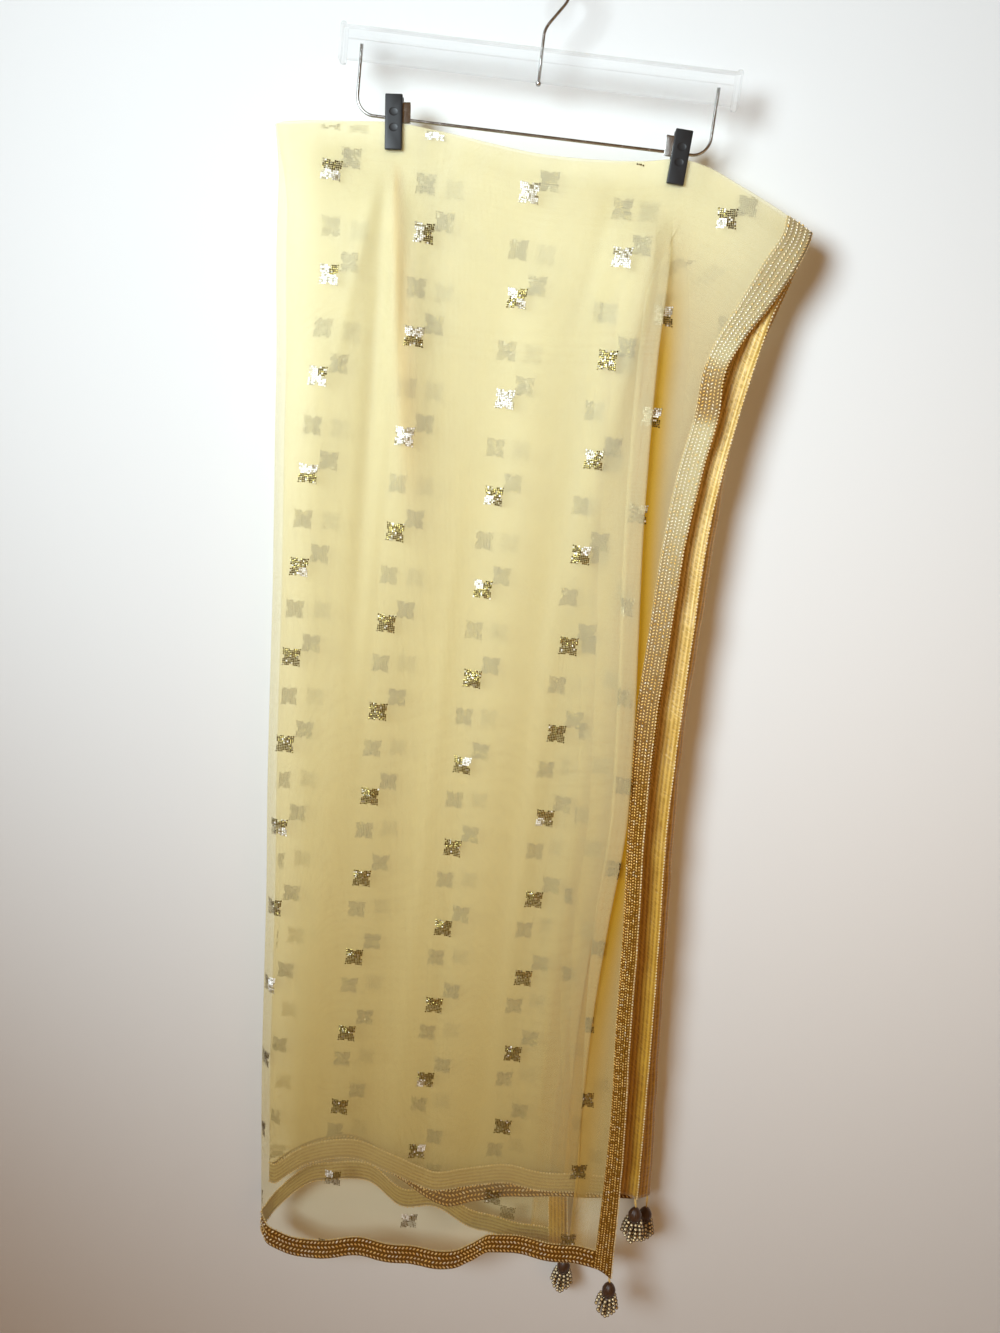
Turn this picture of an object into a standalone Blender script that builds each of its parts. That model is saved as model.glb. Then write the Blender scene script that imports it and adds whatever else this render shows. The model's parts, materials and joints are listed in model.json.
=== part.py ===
"""Dupatta stole on a clip hanger.

A long net dupatta is folded end over end and then in half down its length, and hangs
by the top fold from the two clips of a clear hanger. Four layers of net lie one behind
the other, each with a beaded tape down its long edge and along its short end, and a
tassel at its corner.

Metres, +Z up. The origin is the underside of the hook's crown, and the front faces -Y.
"""

import math
from collections import namedtuple

import bmesh
import bpy
from mathutils import Matrix, Vector

# Cloth: walls, seams and tapes
NET_WALL = 0.0010
TAPE_WALL = 0.0014
SEAM = 0.0003
TAPE_WIDTH = 0.025
TAPE_SHOWN = 0.92 * TAPE_WIDTH
TAPE_TURN_SHARE = 0.8
TAPE_TURN_HEAD = 0.24
TAPE_TURN_EASE = 0.12

# Cloth: how far the layers stand apart, and how that eases in from the clips and folds
PINCHED_HALF_GAP = (NET_WALL + SEAM) / 2
TOP_HALF_GAP = 0.0006
LAYER_HALF_GAP = 0.0040
PAIR_AT_TOP = 0.0035
PAIR_SPREAD = 0.0060
TOP_ROUNDING = 0.035
FOLD_ROUNDING = 0.014
INNER_FOLD_INSET = 0.010
CLIP_RELEASE_START = 0.012
SPREAD_RELEASE = 0.080
FOLD_RELEASE = 0.050

# Cloth: the pleat's section, its bends as shares of its depth, and the ripples at the hems
CREST_ROUNDING = 0.008
BULGE_REACH = 0.075
CREST_BEND = 0.28
TUCK_BEND = 0.25
BEND_CORNER = math.radians(60)
RIPPLE_HEAD = 1.0
RIPPLE_EASE = 0.35
RIPPLE_LEFT = -0.17
RIPPLE_SIDE_EASE = 0.06
RIPPLES_PER_METRE = 15

# Cloth: the rows and columns of its surfaces
HANG_DROP = 0.165
NET_ROWS = 21
ROWS_CLOSER_AT_TOP = 1.6
LEFT_FOLD_COLUMNS = (0.0, 0.004, 0.010)
MAIN_COLUMNS = 15
TAPE_COLUMNS = 2
HEM_ROWS = 2

# Hanger
WIRE_RADIUS = 0.0015
WIRE_FIT = 0.0003
HOOK_INNER_RADIUS = 0.0185
HOOK_BEND_DROP = 0.052
HOOK_BEND_ANGLE = -37
HOOK_END_ANGLE = 205
HOOK_HEAD = 0.003
BAR_HALF_LENGTH = 0.1945
BAR_TOP = 0.070
BAR_BOTTOM = 0.099
BAR_WEB_DEPTH = 0.008
BAR_RIB_DEPTH = 0.012
BAR_RIB_HEIGHT = 0.0095
BAR_INSET = 0.002
LIP_LENGTH = 0.0065
LIP_DEPTH = 0.016
LIP_HEIGHT = 0.035
BAIL_X = 0.1735
BAIL_DROP = 0.1465
BAIL_CORNER = 0.017
BAIL_SOCKET = 0.014
CLIP_WIDTH = 0.017
CLIP_HEIGHT = 0.050
CLIP_TOP_DROP = 0.126
CLIP_PLATE = 0.0035
JAW_HALF_GAP = 3 * PINCHED_HALF_GAP + NET_WALL / 2 + SEAM
SPRING_WIDTH = 0.022
SPRING_TOP_DROP = 0.1315
SPRING_FOOT_DROP = 0.1503
SPRING_SHEET = 0.0005
SPRING_SHIFT = 0.00475

# Tassels
CAP_RADIUS = 0.008
CAP_HEIGHT = 0.020
CAP_NARROWING = 0.25
STRAND_RADIUS = 0.0012
INNER_TASSEL_LEAN = 0.004

StrandRing = namedtuple("StrandRing", "count root reach length turn")
STRAND_RINGS = (
    StrandRing(5, 0.0022, 0.0050, 0.034, 0.0),
    StrandRing(9, 0.0055, 0.0125, 0.030, 0.5),
)

Clip = namedtuple("Clip", "name x tilt inner_side")
CLIPS = (
    Clip("left", -0.1360, 4.7, 1),
    Clip("right", 0.1455, -2.2, -1),
)

# How the cloth lies at each level: the share of the pleat that is tucked, and where
# the left fold, the pleat's crest and the four layers' long edges are. edge_run is
# how wide the front layer's tape looks from the front.
Level = namedtuple(
    "Level", "drop tucked left_fold crest edge_1 edge_run edge_2 edge_3 edge_4"
)
LEVELS = (
    Level(0.150, 0.00, -0.2535, 0.1455, 0.2855, 0.0285, 0.2855, 0.2860, 0.2850),
    Level(0.205, 0.15, -0.2452, 0.1475, 0.2850, 0.0285, 0.2850, 0.2865, 0.2845),
    Level(0.240, 0.60, -0.2436, 0.1495, 0.2735, 0.0330, 0.2750, 0.2777, 0.2700),
    Level(0.280, 1.00, -0.2420, 0.1500, 0.2530, 0.0300, 0.2612, 0.2670, 0.2520),
    Level(0.310, 1.00, -0.2400, 0.1503, 0.2345, 0.0250, 0.2545, 0.2590, 0.2380),
    Level(0.345, 1.00, -0.2372, 0.1512, 0.2180, 0.0190, 0.2480, 0.2506, 0.2260),
    Level(0.390, 1.00, -0.2340, 0.1535, 0.2180, 0.0208, 0.2415, 0.2455, 0.2180),
    Level(0.450, 1.00, -0.2310, 0.1575, 0.2115, 0.0225, 0.2345, 0.2432, 0.2090),
    Level(0.520, 1.00, -0.2268, 0.1630, 0.2055, 0.0205, 0.2305, 0.2430, 0.2030),
    Level(0.620, 1.00, -0.2213, 0.1735, 0.2045, 0.0200, 0.2320, 0.2438, 0.1980),
    Level(0.720, 1.00, -0.2168, 0.1840, 0.2040, 0.0190, 0.2340, 0.2440, 0.1950),
    Level(0.840, 0.95, -0.2112, 0.1930, 0.2103, 0.0155, 0.2385, 0.2510, 0.1930),
    Level(0.960, 0.85, -0.2040, 0.1900, 0.2214, 0.0145, 0.2490, 0.2620, 0.1900),
    Level(1.080, 0.60, -0.1985, 0.1900, 0.2305, 0.0140, 0.2590, 0.2730, 0.1870),
    Level(1.200, 0.35, -0.1930, 0.1950, 0.2420, 0.0145, 0.2680, 0.2845, 0.1860),
    Level(1.310, 0.15, -0.1860, 0.2000, 0.2505, 0.0175, 0.2755, 0.2950, 0.1920),
    Level(1.450, 0.00, -0.1765, 0.2050, 0.2590, 0.0215, 0.2800, 0.3000, 0.2100),
)

# The line of the top fold, as drops at places across the hanger.
Drop = namedtuple("Drop", "x drop")
TOP_FOLD = (
    Drop(-0.2535, 0.1650),
    Drop(-0.1900, 0.1560),
    Drop(-0.1360, 0.1515),
    Drop(-0.0980, 0.1536),
    Drop(-0.0400, 0.1603),
    Drop(0.0100, 0.1645),
    Drop(0.0680, 0.1632),
    Drop(0.1200, 0.1575),
    Drop(0.1455, 0.1525),
    Drop(0.1735, 0.1565),
    Drop(0.2050, 0.1690),
    Drop(0.2510, 0.1890),
    Drop(0.2860, 0.2060),
)

# One record a layer, front to back. depth is the pleat's depth in front of the layer
# or behind it, tuck is how far it is folded under, lean is how far the pleat's crest
# stands left of the front layer's.
Layer = namedtuple("Layer", "number side pair depth tuck lean ripple phase loop hem")
LAYERS = (
    Layer(1, -1, 1, 0.0090, 0.020, 0.000, 0.0015, 0.4, 0.005, (
        Drop(-0.1765, 1.4330), Drop(-0.1240, 1.4490), Drop(-0.0605, 1.4374),
        Drop(0.0000, 1.4400), Drop(0.0640, 1.4380), Drop(0.0850, 1.4250),
        Drop(0.1070, 1.4067), Drop(0.1760, 1.4087), Drop(0.2590, 1.4125))),
    Layer(2, -1, -1, 0.0055, 0.030, 0.014, 0.0006, 1.7, 0.008, (
        Drop(-0.1700, 1.3580), Drop(-0.1286, 1.3224), Drop(-0.0777, 1.3080),
        Drop(-0.0300, 1.3200), Drop(0.0239, 1.3377), Drop(0.0622, 1.3290),
        Drop(0.1092, 1.3157), Drop(0.1580, 1.3195), Drop(0.2755, 1.3110))),
    Layer(3, 1, -1, 0.0055, 0.034, 0.024, 0.0006, 2.9, 0.021, (
        Drop(-0.1700, 1.3600), Drop(-0.1286, 1.3250), Drop(-0.0777, 1.3100),
        Drop(-0.0300, 1.3300), Drop(0.0420, 1.3690), Drop(0.0776, 1.3570),
        Drop(0.1130, 1.3464), Drop(0.1660, 1.3380), Drop(0.2950, 1.3230))),
    Layer(4, 1, 1, 0.0090, 0.022, 0.045, 0.0015, 4.1, 0.020, (
        Drop(-0.1765, 1.4250), Drop(-0.1250, 1.3674), Drop(-0.0940, 1.3598),
        Drop(-0.0500, 1.3540), Drop(-0.0106, 1.3837), Drop(0.0325, 1.3800),
        Drop(0.0930, 1.4060), Drop(0.2100, 1.4190))),
)

# Soft folds that all four layers share. lift is positive where the cloth comes forward.
Fold = namedtuple("Fold", "x_head x_foot head foot half_width lift")
FOLDS = (
    Fold(-0.1500, -0.2050, 0.178, 0.620, 0.020, 0.0085),
    Fold(-0.1360, -0.1250, 0.178, 0.760, 0.010, -0.0060),
    Fold(-0.1240, -0.0700, 0.178, 0.640, 0.022, 0.0090),
    Fold(0.0000, -0.0200, 0.190, 1.100, 0.034, -0.0040),
    Fold(0.0300, 0.0500, 0.260, 1.380, 0.030, 0.0045),
    Fold(0.1300, 0.0900, 0.178, 0.700, 0.018, 0.0050),
    Fold(-0.1400, -0.1300, 0.700, 1.440, 0.024, 0.0045),
    Fold(-0.0600, -0.0500, 0.620, 1.440, 0.026, -0.0040),
)

MATERIALS = {
    "net": ((0.83, 0.72, 0.40, 1.0), 0.65, 0.0),
    "tape": ((0.52, 0.36, 0.14, 1.0), 0.45, 0.2),
    "beads": ((0.30, 0.19, 0.09, 1.0), 0.40, 0.3),
    "acrylic": ((0.90, 0.92, 0.93, 1.0), 0.05, 0.0),
    "steel": ((0.55, 0.54, 0.52, 1.0), 0.25, 1.0),
    "black plastic": ((0.012, 0.012, 0.013, 1.0), 0.35, 0.0),
}


def clear_scene():
    for thing in list(bpy.data.objects):
        bpy.data.objects.remove(thing, do_unlink=True)


def new_collection(name):
    collection = bpy.data.collections.new(name)
    bpy.context.scene.collection.children.link(collection)
    return collection


def make_material(name):
    colour, roughness, metallic = MATERIALS[name]
    material = bpy.data.materials.get(name) or bpy.data.materials.new(name)
    material.use_nodes = True
    shader = material.node_tree.nodes["Principled BSDF"]
    shader.inputs["Base Color"].default_value = colour
    shader.inputs["Roughness"].default_value = roughness
    shader.inputs["Metallic"].default_value = metallic
    return material


def add_object(name, data, collection, material):
    thing = bpy.data.objects.new(name, data)
    data.materials.append(make_material(material))
    collection.objects.link(thing)
    return thing


def mesh_object(name, bm, collection, material):
    bmesh.ops.recalc_face_normals(bm, faces=bm.faces)
    mesh = bpy.data.meshes.new(name)
    bm.to_mesh(mesh)
    bm.free()
    return add_object(name, mesh, collection, material)


def between(rows, at, key, value):
    """The value at a place in a table, smooth through its rows."""
    places = [getattr(row, key) for row in rows]
    values = [getattr(row, value) for row in rows]
    if at <= places[0]:
        return values[0]
    if at >= places[-1]:
        return values[-1]
    i = max(k for k, place in enumerate(places) if place <= at)
    i = min(i, len(rows) - 2)
    step = places[i + 1] - places[i]
    before, after = max(i - 1, 0), min(i + 2, len(rows) - 1)
    slope_0 = (values[i + 1] - values[before]) / (places[i + 1] - places[before])
    slope_1 = (values[after] - values[i]) / (places[after] - places[i])
    t = (at - places[i]) / step
    return (
        values[i] * (2 * t**3 - 3 * t**2 + 1)
        + values[i + 1] * (3 * t**2 - 2 * t**3)
        + step * slope_0 * (t**3 - 2 * t**2 + t)
        + step * slope_1 * (t**3 - t**2)
    )


def ease(share):
    share = min(max(share, 0.0), 1.0)
    return share * share * (3 - 2 * share)


def rounding(distance, reach):
    return math.sin(math.pi / 2 * min(max(distance / reach, 0.0), 1.0))


def mix(a, b, share):
    return a + (b - a) * share


def level_value(drop, name):
    return between(LEVELS, drop, "drop", name)


def top_drop(x):
    return between(TOP_FOLD, x, "x", "drop")


def release(x, drop, reach):
    """0 where a clip pinches the layers together, 1 from reach away from both clips."""
    shares = []
    for clip in CLIPS:
        aside = max(abs(x - clip.x) - CLIP_WIDTH / 2, 0.0)
        below = max(drop - (CLIP_TOP_DROP + CLIP_HEIGHT), 0.0)
        shares.append(ease((math.hypot(aside, below) - CLIP_RELEASE_START) / reach))
    return min(shares)


def soft_folds(x, drop):
    """How far the shared folds carry the cloth back (+Y) at a place."""
    moved = 0.0
    for fold in FOLDS:
        along = (drop - fold.head) / (fold.foot - fold.head)
        if not 0 < along < 1:
            continue
        height = 4 * along**0.6 * (1 - along**0.6)
        offset = (x - mix(fold.x_head, fold.x_foot, along)) / fold.half_width
        moved -= fold.lift * height * math.exp(-offset * offset)
    return moved * release(x, drop, FOLD_RELEASE)


def layer_depth(layer, x, drop):
    """Y of a layer's flat part, between the pinched clips, the top fold and the left fold."""
    free = release(x, drop, SPREAD_RELEASE)
    rise = rounding(drop - top_drop(x), TOP_ROUNDING)
    pair = 2 * PINCHED_HALF_GAP + free * (PAIR_AT_TOP + PAIR_SPREAD * rise)
    half = PINCHED_HALF_GAP + free * (TOP_HALF_GAP + LAYER_HALF_GAP * rise)
    inset = 0.0 if layer.pair > 0 else INNER_FOLD_INSET
    into = rounding(x - level_value(drop, "left_fold") - inset, FOLD_ROUNDING)
    away = mix(PINCHED_HALF_GAP, pair + layer.pair * half, into)
    ripple = layer.ripple * ease((drop - RIPPLE_HEAD) / RIPPLE_EASE)
    ripple *= ease((x - RIPPLE_LEFT) / RIPPLE_SIDE_EASE)
    wave = math.sin(2 * math.pi * RIPPLES_PER_METRE * x + layer.phase)
    return layer.side * away + ripple * wave


def edge_of(layer, drop):
    """X of a layer's long edge and the run of its tape."""
    edge = level_value(drop, f"edge_{layer.number}")
    run = level_value(drop, "edge_run") if layer.number == 1 else TAPE_SHOWN
    return edge, run


def section(layer, drop):
    """A layer at one level, as points (x, y off its flat part) from the left fold to the tape.

    A soft panel runs to the pleat's crest, doubles under it, and comes out again to the
    tape. tucked morphs that from cloth laid out flat.
    """
    tucked = level_value(drop, "tucked")
    left = level_value(drop, "left_fold")
    left += 0.0 if layer.pair > 0 else INNER_FOLD_INSET
    crest = level_value(drop, "crest") - layer.lean
    edge, run = edge_of(layer, drop)
    tape = edge - run
    depth, side = layer.depth, layer.side

    last_main = crest - CREST_ROUNDING
    places = [left + inset for inset in LEFT_FOLD_COLUMNS]
    step = (last_main - places[-1]) / MAIN_COLUMNS
    places += [places[-1] + step * (k + 1) for k in range(MAIN_COLUMNS)]
    points = []
    for x in places:
        bulge = ease(1 - (last_main - x) / BULGE_REACH) * tucked
        points.append((x, side * depth * bulge))

    bend = CREST_BEND * depth
    tuck_bend = TUCK_BEND * depth
    middle = depth - bend
    inner = depth - 2 * bend - tuck_bend
    reach = crest - layer.tuck
    along, out = math.cos(BEND_CORNER), math.sin(BEND_CORNER)
    doubled = [
        (crest - bend * (1 - along), middle + bend * out),
        (crest, middle),
        (crest - bend * (1 - along), middle - bend * out),
        (crest - layer.tuck / 2, depth - 2 * bend),
        (reach + tuck_bend * (1 - along), inner + tuck_bend * out),
        (reach, inner),
        (reach + tuck_bend * (1 - along), inner - tuck_bend * out),
        (mix(reach, tape, 1 / 3), inner - tuck_bend),
    ]
    doubled += [(mix(reach, tape, share), 0.0) for share in (0.55, 0.78, 1.0)]
    for k, (x, y) in enumerate(doubled):
        flat = mix(last_main, tape, (k + 1) / len(doubled))
        points.append((mix(flat, x, tucked), side * y * tucked))
    return points


def tape_section(layer, drop):
    """The tape's points at one level, from the net to the long edge."""
    edge, run = edge_of(layer, drop)
    turn = layer.side * TAPE_TURN_SHARE * math.sqrt(max(TAPE_WIDTH**2 - run**2, 0.0))
    turn *= ease((drop - TAPE_TURN_HEAD) / TAPE_TURN_EASE)
    shares = [k / TAPE_COLUMNS for k in range(TAPE_COLUMNS + 1)]
    return [(edge - run + run * share, turn * share**2) for share in shares]


def place(layer, points_at, column, along):
    """The point of one column, along = 0 at the top fold and 1 at the hem."""
    high = HANG_DROP
    for _ in range(3):
        high = top_drop(points_at(layer, high)[column][0])
    low = layer.hem[-1].drop
    low = between(layer.hem, points_at(layer, low)[column][0], "x", "drop")
    drop = mix(high, low, along)
    x, off = points_at(layer, drop)[column]
    off *= release(x, drop, FOLD_RELEASE)
    return Vector((x, layer_depth(layer, x, drop) + off + soft_folds(x, drop), -drop))


def cloth_panel(name, layer, points_at, columns, rows, wall, material, collection):
    """A wall lofted through a layer's columns and rows, Solidify giving its thickness.

    A column or row is a pair: its index or share, and how far it is held back from it.
    """
    grid = []
    for column, held_back in columns:
        line = []
        for along, trim in rows:
            point = place(layer, points_at, column, along)
            if held_back:
                towards = place(layer, points_at, column - 1, along) - point
                point += towards.normalized() * held_back
            point.z += trim
            line.append(point)
        grid.append(line)
    bm = bmesh.new()
    verts = [[bm.verts.new(point) for point in line] for line in grid]
    for left, right in zip(verts, verts[1:]):
        for k in range(len(left) - 1):
            bm.faces.new((left[k], left[k + 1], right[k + 1], right[k]))
    thing = mesh_object(name, bm, collection, material)
    solidify = thing.modifiers.new("wall", "SOLIDIFY")
    solidify.thickness = wall
    solidify.offset = 0.0
    return thing


def cloth_layer(layer, collection):
    """A layer's net, the tape down its long edge and the tape along its hem."""
    length = layer.hem[-1].drop - HANG_DROP
    net_foot = 1 - TAPE_WIDTH / length
    levels = [net_foot * (k / NET_ROWS) ** ROWS_CLOSER_AT_TOP for k in range(NET_ROWS + 1)]
    net_rows = [(along, 0.0) for along in levels[:-1]] + [(net_foot, SEAM)]
    hem_rows = [(mix(net_foot, 1.0, k / HEM_ROWS), 0.0) for k in range(HEM_ROWS + 1)]
    tape_rows = [(along, 0.0) for along in levels] + hem_rows[1:]
    last = len(section(layer, HANG_DROP)) - 1
    net_columns = [(k, 0.0) for k in range(last)] + [(last, SEAM)]
    tape_columns = [(k, 0.0) for k in range(TAPE_COLUMNS + 1)]

    part = f"layer_{layer.number}"
    cloth_panel(f"{part}_net", layer, section, net_columns, net_rows,
                NET_WALL, "net", collection)
    cloth_panel(f"{part}_hem_tape", layer, section, net_columns, hem_rows,
                TAPE_WALL, "tape", collection)
    cloth_panel(f"{part}_side_tape", layer, tape_section, tape_columns, tape_rows,
                TAPE_WALL, "tape", collection)


def strand(start, end, radius):
    """A three-sided strand between two points, as a new mesh."""
    bm = bmesh.new()
    along = end - start
    turn = along.to_track_quat("Z", "Y").to_matrix().to_4x4()
    bmesh.ops.create_cone(
        bm, cap_ends=True, segments=3, radius1=radius, radius2=radius, depth=along.length,
        matrix=Matrix.Translation((start + end) / 2) @ turn,
    )
    return bm


def tassel(layer, collection, cutters):
    """A wound cap on a short thread loop, with bead strands fused into its foot."""
    corner = place(layer, tape_section, TAPE_COLUMNS, 1.0)
    top = corner - Vector((2 * STRAND_RADIUS, 0.0, SEAM))
    lean = INNER_TASSEL_LEAN * layer.side if layer.pair < 0 else 0.0
    cap_middle = corner + Vector((0.0, lean, -SEAM - layer.loop - CAP_HEIGHT / 2))

    bm = bmesh.new()
    bmesh.ops.create_uvsphere(bm, u_segments=10, v_segments=6, radius=1.0)
    for vert in bm.verts:
        narrow = 1 - CAP_NARROWING * max(vert.co.z, 0.0)
        vert.co.x *= CAP_RADIUS * narrow
        vert.co.y *= CAP_RADIUS * narrow
        vert.co.z *= CAP_HEIGHT / 2
    bmesh.ops.translate(bm, verts=bm.verts, vec=cap_middle)
    head = mesh_object(f"tassel_{layer.number}", bm, collection, "beads")

    lines = [(top, cap_middle)]
    inside = Vector((0.0, 0.0, 0.15 * CAP_HEIGHT))
    foot = Vector((0.0, 0.0, 0.35 * CAP_HEIGHT))
    for ring in STRAND_RINGS:
        fall = Vector((0.0, 0.0, ring.length))
        for k in range(ring.count):
            angle = 2 * math.pi * (k + ring.turn) / ring.count
            around = Vector((math.cos(angle), math.sin(angle), 0.0))
            start = cap_middle + around * ring.root - inside
            lines.append((start, cap_middle + around * ring.reach - foot - fall))
    for k, (start, end) in enumerate(lines):
        cutter = mesh_object(
            f"tassel_{layer.number}_strand_{k}", strand(start, end, STRAND_RADIUS), cutters, "beads"
        )
        cutter.hide_render = True
        cutter.display_type = "WIRE"
        union = head.modifiers.new(f"strand {k}", "BOOLEAN")
        union.operation = "UNION"
        union.object = cutter


def box(name, low, high, bevel, collection, material):
    bm = bmesh.new()
    bmesh.ops.create_cube(bm, size=1.0)
    low, high = Vector(low), Vector(high)
    for vert in bm.verts:
        vert.co = Vector(mix(low[i], high[i], vert.co[i] + 0.5) for i in range(3))
    thing = mesh_object(name, bm, collection, material)
    if bevel:
        rounded = thing.modifiers.new("edges", "BEVEL")
        rounded.width = bevel
        rounded.segments = 2
    return thing


def as_cutter(thing):
    thing.hide_render = True
    thing.display_type = "WIRE"
    return thing


def combine(target, tool, operation):
    modifier = target.modifiers.new(operation.lower(), "BOOLEAN")
    modifier.operation = operation
    modifier.object = tool


def hole_cutter(name, x, top, bottom, cutters):
    bm = bmesh.new()
    bmesh.ops.create_cone(
        bm, cap_ends=True, segments=16, radius1=WIRE_RADIUS + WIRE_FIT,
        radius2=WIRE_RADIUS + WIRE_FIT, depth=bottom - top,
        matrix=Matrix.Translation((x, 0, -(top + bottom) / 2)),
    )
    return as_cutter(mesh_object(name, bm, cutters, "acrylic"))


def hanger_bar(collection, cutters):
    """A clear moulded bar: a web under a thicker rib, a raised lip at each end, and holes
    for the hook's stem and the bail's two ends."""
    end = BAR_HALF_LENGTH
    web_x, web_y = end - BAR_INSET, BAR_WEB_DEPTH / 2
    rib_y = BAR_RIB_DEPTH / 2
    bar = box("hanger_bar", (-web_x, -web_y, -BAR_BOTTOM),
              (web_x, web_y, -BAR_TOP - BAR_INSET / 2), 0.0008, collection, "acrylic")
    rib = box("bar_rib", (-web_x, -rib_y, -BAR_TOP - BAR_RIB_HEIGHT),
              (web_x, rib_y, -BAR_TOP), 0.0012, cutters, "acrylic")
    combine(bar, as_cutter(rib), "UNION")
    for name, side in (("left", -1), ("right", 1)):
        outer, inner = side * end, side * (end - LIP_LENGTH)
        top = BAR_TOP - BAR_INSET
        lip = box(f"bar_lip_{name}", (min(outer, inner), -LIP_DEPTH / 2, -top - LIP_HEIGHT),
                  (max(outer, inner), LIP_DEPTH / 2, -top), 0.0026, cutters, "acrylic")
        combine(bar, as_cutter(lip), "UNION")
        socket = hole_cutter(f"bail_socket_{name}", side * BAIL_X,
                             BAR_BOTTOM - BAIL_SOCKET - 2 * WIRE_FIT, BAR_BOTTOM + 0.01, cutters)
        combine(bar, socket, "DIFFERENCE")
    stem = hole_cutter("hook_hole", 0.0, BAR_TOP - 0.01, BAR_BOTTOM + 0.01, cutters)
    combine(bar, stem, "DIFFERENCE")


def arc(centre_x, centre_drop, radius, start, end, steps):
    """Points on an arc in the XZ plane, angles in degrees from +X towards +Z."""
    angles = (math.radians(mix(start, end, k / steps)) for k in range(steps + 1))
    return [(centre_x + radius * math.cos(a), -centre_drop + radius * math.sin(a)) for a in angles]


def wire(name, path, collection):
    """A round wire along (x, z) points, with filled ends."""
    data = bpy.data.curves.new(name, "CURVE")
    data.dimensions = "3D"
    data.bevel_depth = WIRE_RADIUS
    data.bevel_resolution = 2
    data.use_fill_caps = True
    spline = data.splines.new("POLY")
    spline.points.add(len(path) - 1)
    for point, (x, z) in zip(spline.points, path):
        point.co = (x, 0.0, z, 1.0)
    return add_object(name, data, collection, "steel")


def hook(collection, cutters):
    """The wire hook. Its stem goes down through the bar to a swaged head under it."""
    radius = HOOK_INNER_RADIUS + WIRE_RADIUS
    turn = arc(0.0, HOOK_INNER_RADIUS, radius, HOOK_BEND_ANGLE, HOOK_END_ANGLE, 26)
    foot = -BAR_BOTTOM - HOOK_HEAD * 2 / 3
    stem = [(0.0, foot), (0.0, mix(foot, -HOOK_BEND_DROP, 0.5)), (0.0, -HOOK_BEND_DROP)]
    curve = wire("hook_wire", stem + turn, cutters)
    mesh = bpy.data.meshes.new_from_object(
        curve.evaluated_get(bpy.context.evaluated_depsgraph_get())
    )
    bm = bmesh.new()
    bm.from_mesh(mesh)
    bmesh.ops.remove_doubles(bm, verts=bm.verts, dist=1e-5)
    bpy.data.objects.remove(curve)
    bpy.data.meshes.remove(mesh)
    thing = mesh_object("hook", bm, collection, "steel")
    head = bmesh.new()
    bmesh.ops.create_cone(
        head, cap_ends=True, segments=16, radius1=0.0022, radius2=0.0030, depth=HOOK_HEAD,
        matrix=Matrix.Translation((0, 0, -BAR_BOTTOM - SEAM - HOOK_HEAD / 2)),
    )
    combine(thing, as_cutter(mesh_object("hook_head", head, cutters, "steel")), "UNION")


def bail(collection):
    """The wire under the bar that carries the clips: two uprights and a straight run."""
    r = BAIL_CORNER
    top = -(BAR_BOTTOM - BAIL_SOCKET)
    left = arc(-BAIL_X + r, BAIL_DROP - r, r, 180, 270, 6)
    right = arc(BAIL_X - r, BAIL_DROP - r, r, 270, 360, 6)
    wire("bail_wire", [(-BAIL_X, top)] + left + right + [(BAIL_X, top)], collection)


def clip_parts(clip, collection):
    """Two plates that pinch the cloth, and the steel spring that straddles the wire."""
    pivot = Matrix.Translation((clip.x, 0, -BAIL_DROP))
    turn = pivot @ Matrix.Rotation(math.radians(-clip.tilt), 4, "Y")
    top = BAIL_DROP - CLIP_TOP_DROP
    half = CLIP_WIDTH / 2
    for face, side in (("front", -1), ("back", 1)):
        near, far = side * JAW_HALF_GAP, side * (JAW_HALF_GAP + CLIP_PLATE)
        plate = box(f"clip_{clip.name}_{face}", (-half, min(near, far), top - CLIP_HEIGHT),
                    (half, max(near, far), top), 0.0007, collection, "black plastic")
        plate.data.transform(turn)

    outer = WIRE_RADIUS + WIRE_FIT + SPRING_SHEET
    inner = WIRE_RADIUS + WIRE_FIT
    head = BAIL_DROP - SPRING_TOP_DROP
    foot = BAIL_DROP - SPRING_FOOT_DROP
    arch = [math.pi * k / 6 for k in range(7)]
    profile = [(outer, foot)] + [
        (outer * math.cos(a), head - outer + outer * math.sin(a)) for a in arch
    ]
    profile += [(-outer, foot), (-inner, foot)]
    profile += [(inner * math.cos(a), head - outer + inner * math.sin(a)) for a in reversed(arch)]
    profile += [(inner, foot)]
    shift = clip.inner_side * SPRING_SHIFT
    bm = bmesh.new()
    rings = [
        [bm.verts.new((shift + end * SPRING_WIDTH / 2, y, z)) for y, z in profile]
        for end in (-1, 1)
    ]
    count = len(profile)
    for k in range(count):
        after = (k + 1) % count
        bm.faces.new((rings[0][k], rings[0][after], rings[1][after], rings[1][k]))
    bm.faces.new(rings[0])
    bm.faces.new(list(reversed(rings[1])))
    spring = mesh_object(f"clip_{clip.name}_spring", bm, collection, "steel")
    spring.data.transform(turn)


clear_scene()
stole = new_collection("dupatta_stole")
tools = new_collection("cutters")
hanger_bar(stole, tools)
hook(stole, tools)
bail(stole)
for one_clip in CLIPS:
    clip_parts(one_clip, stole)
for one_layer in LAYERS:
    cloth_layer(one_layer, stole)
    tassel(one_layer, stole, tools)
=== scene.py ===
"""Dupatta stole on a clip hanger: the finish of every piece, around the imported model."""

import math
from collections import namedtuple

import bmesh
import bpy
import json
import numpy as np
from mathutils import Matrix, Vector

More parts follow.
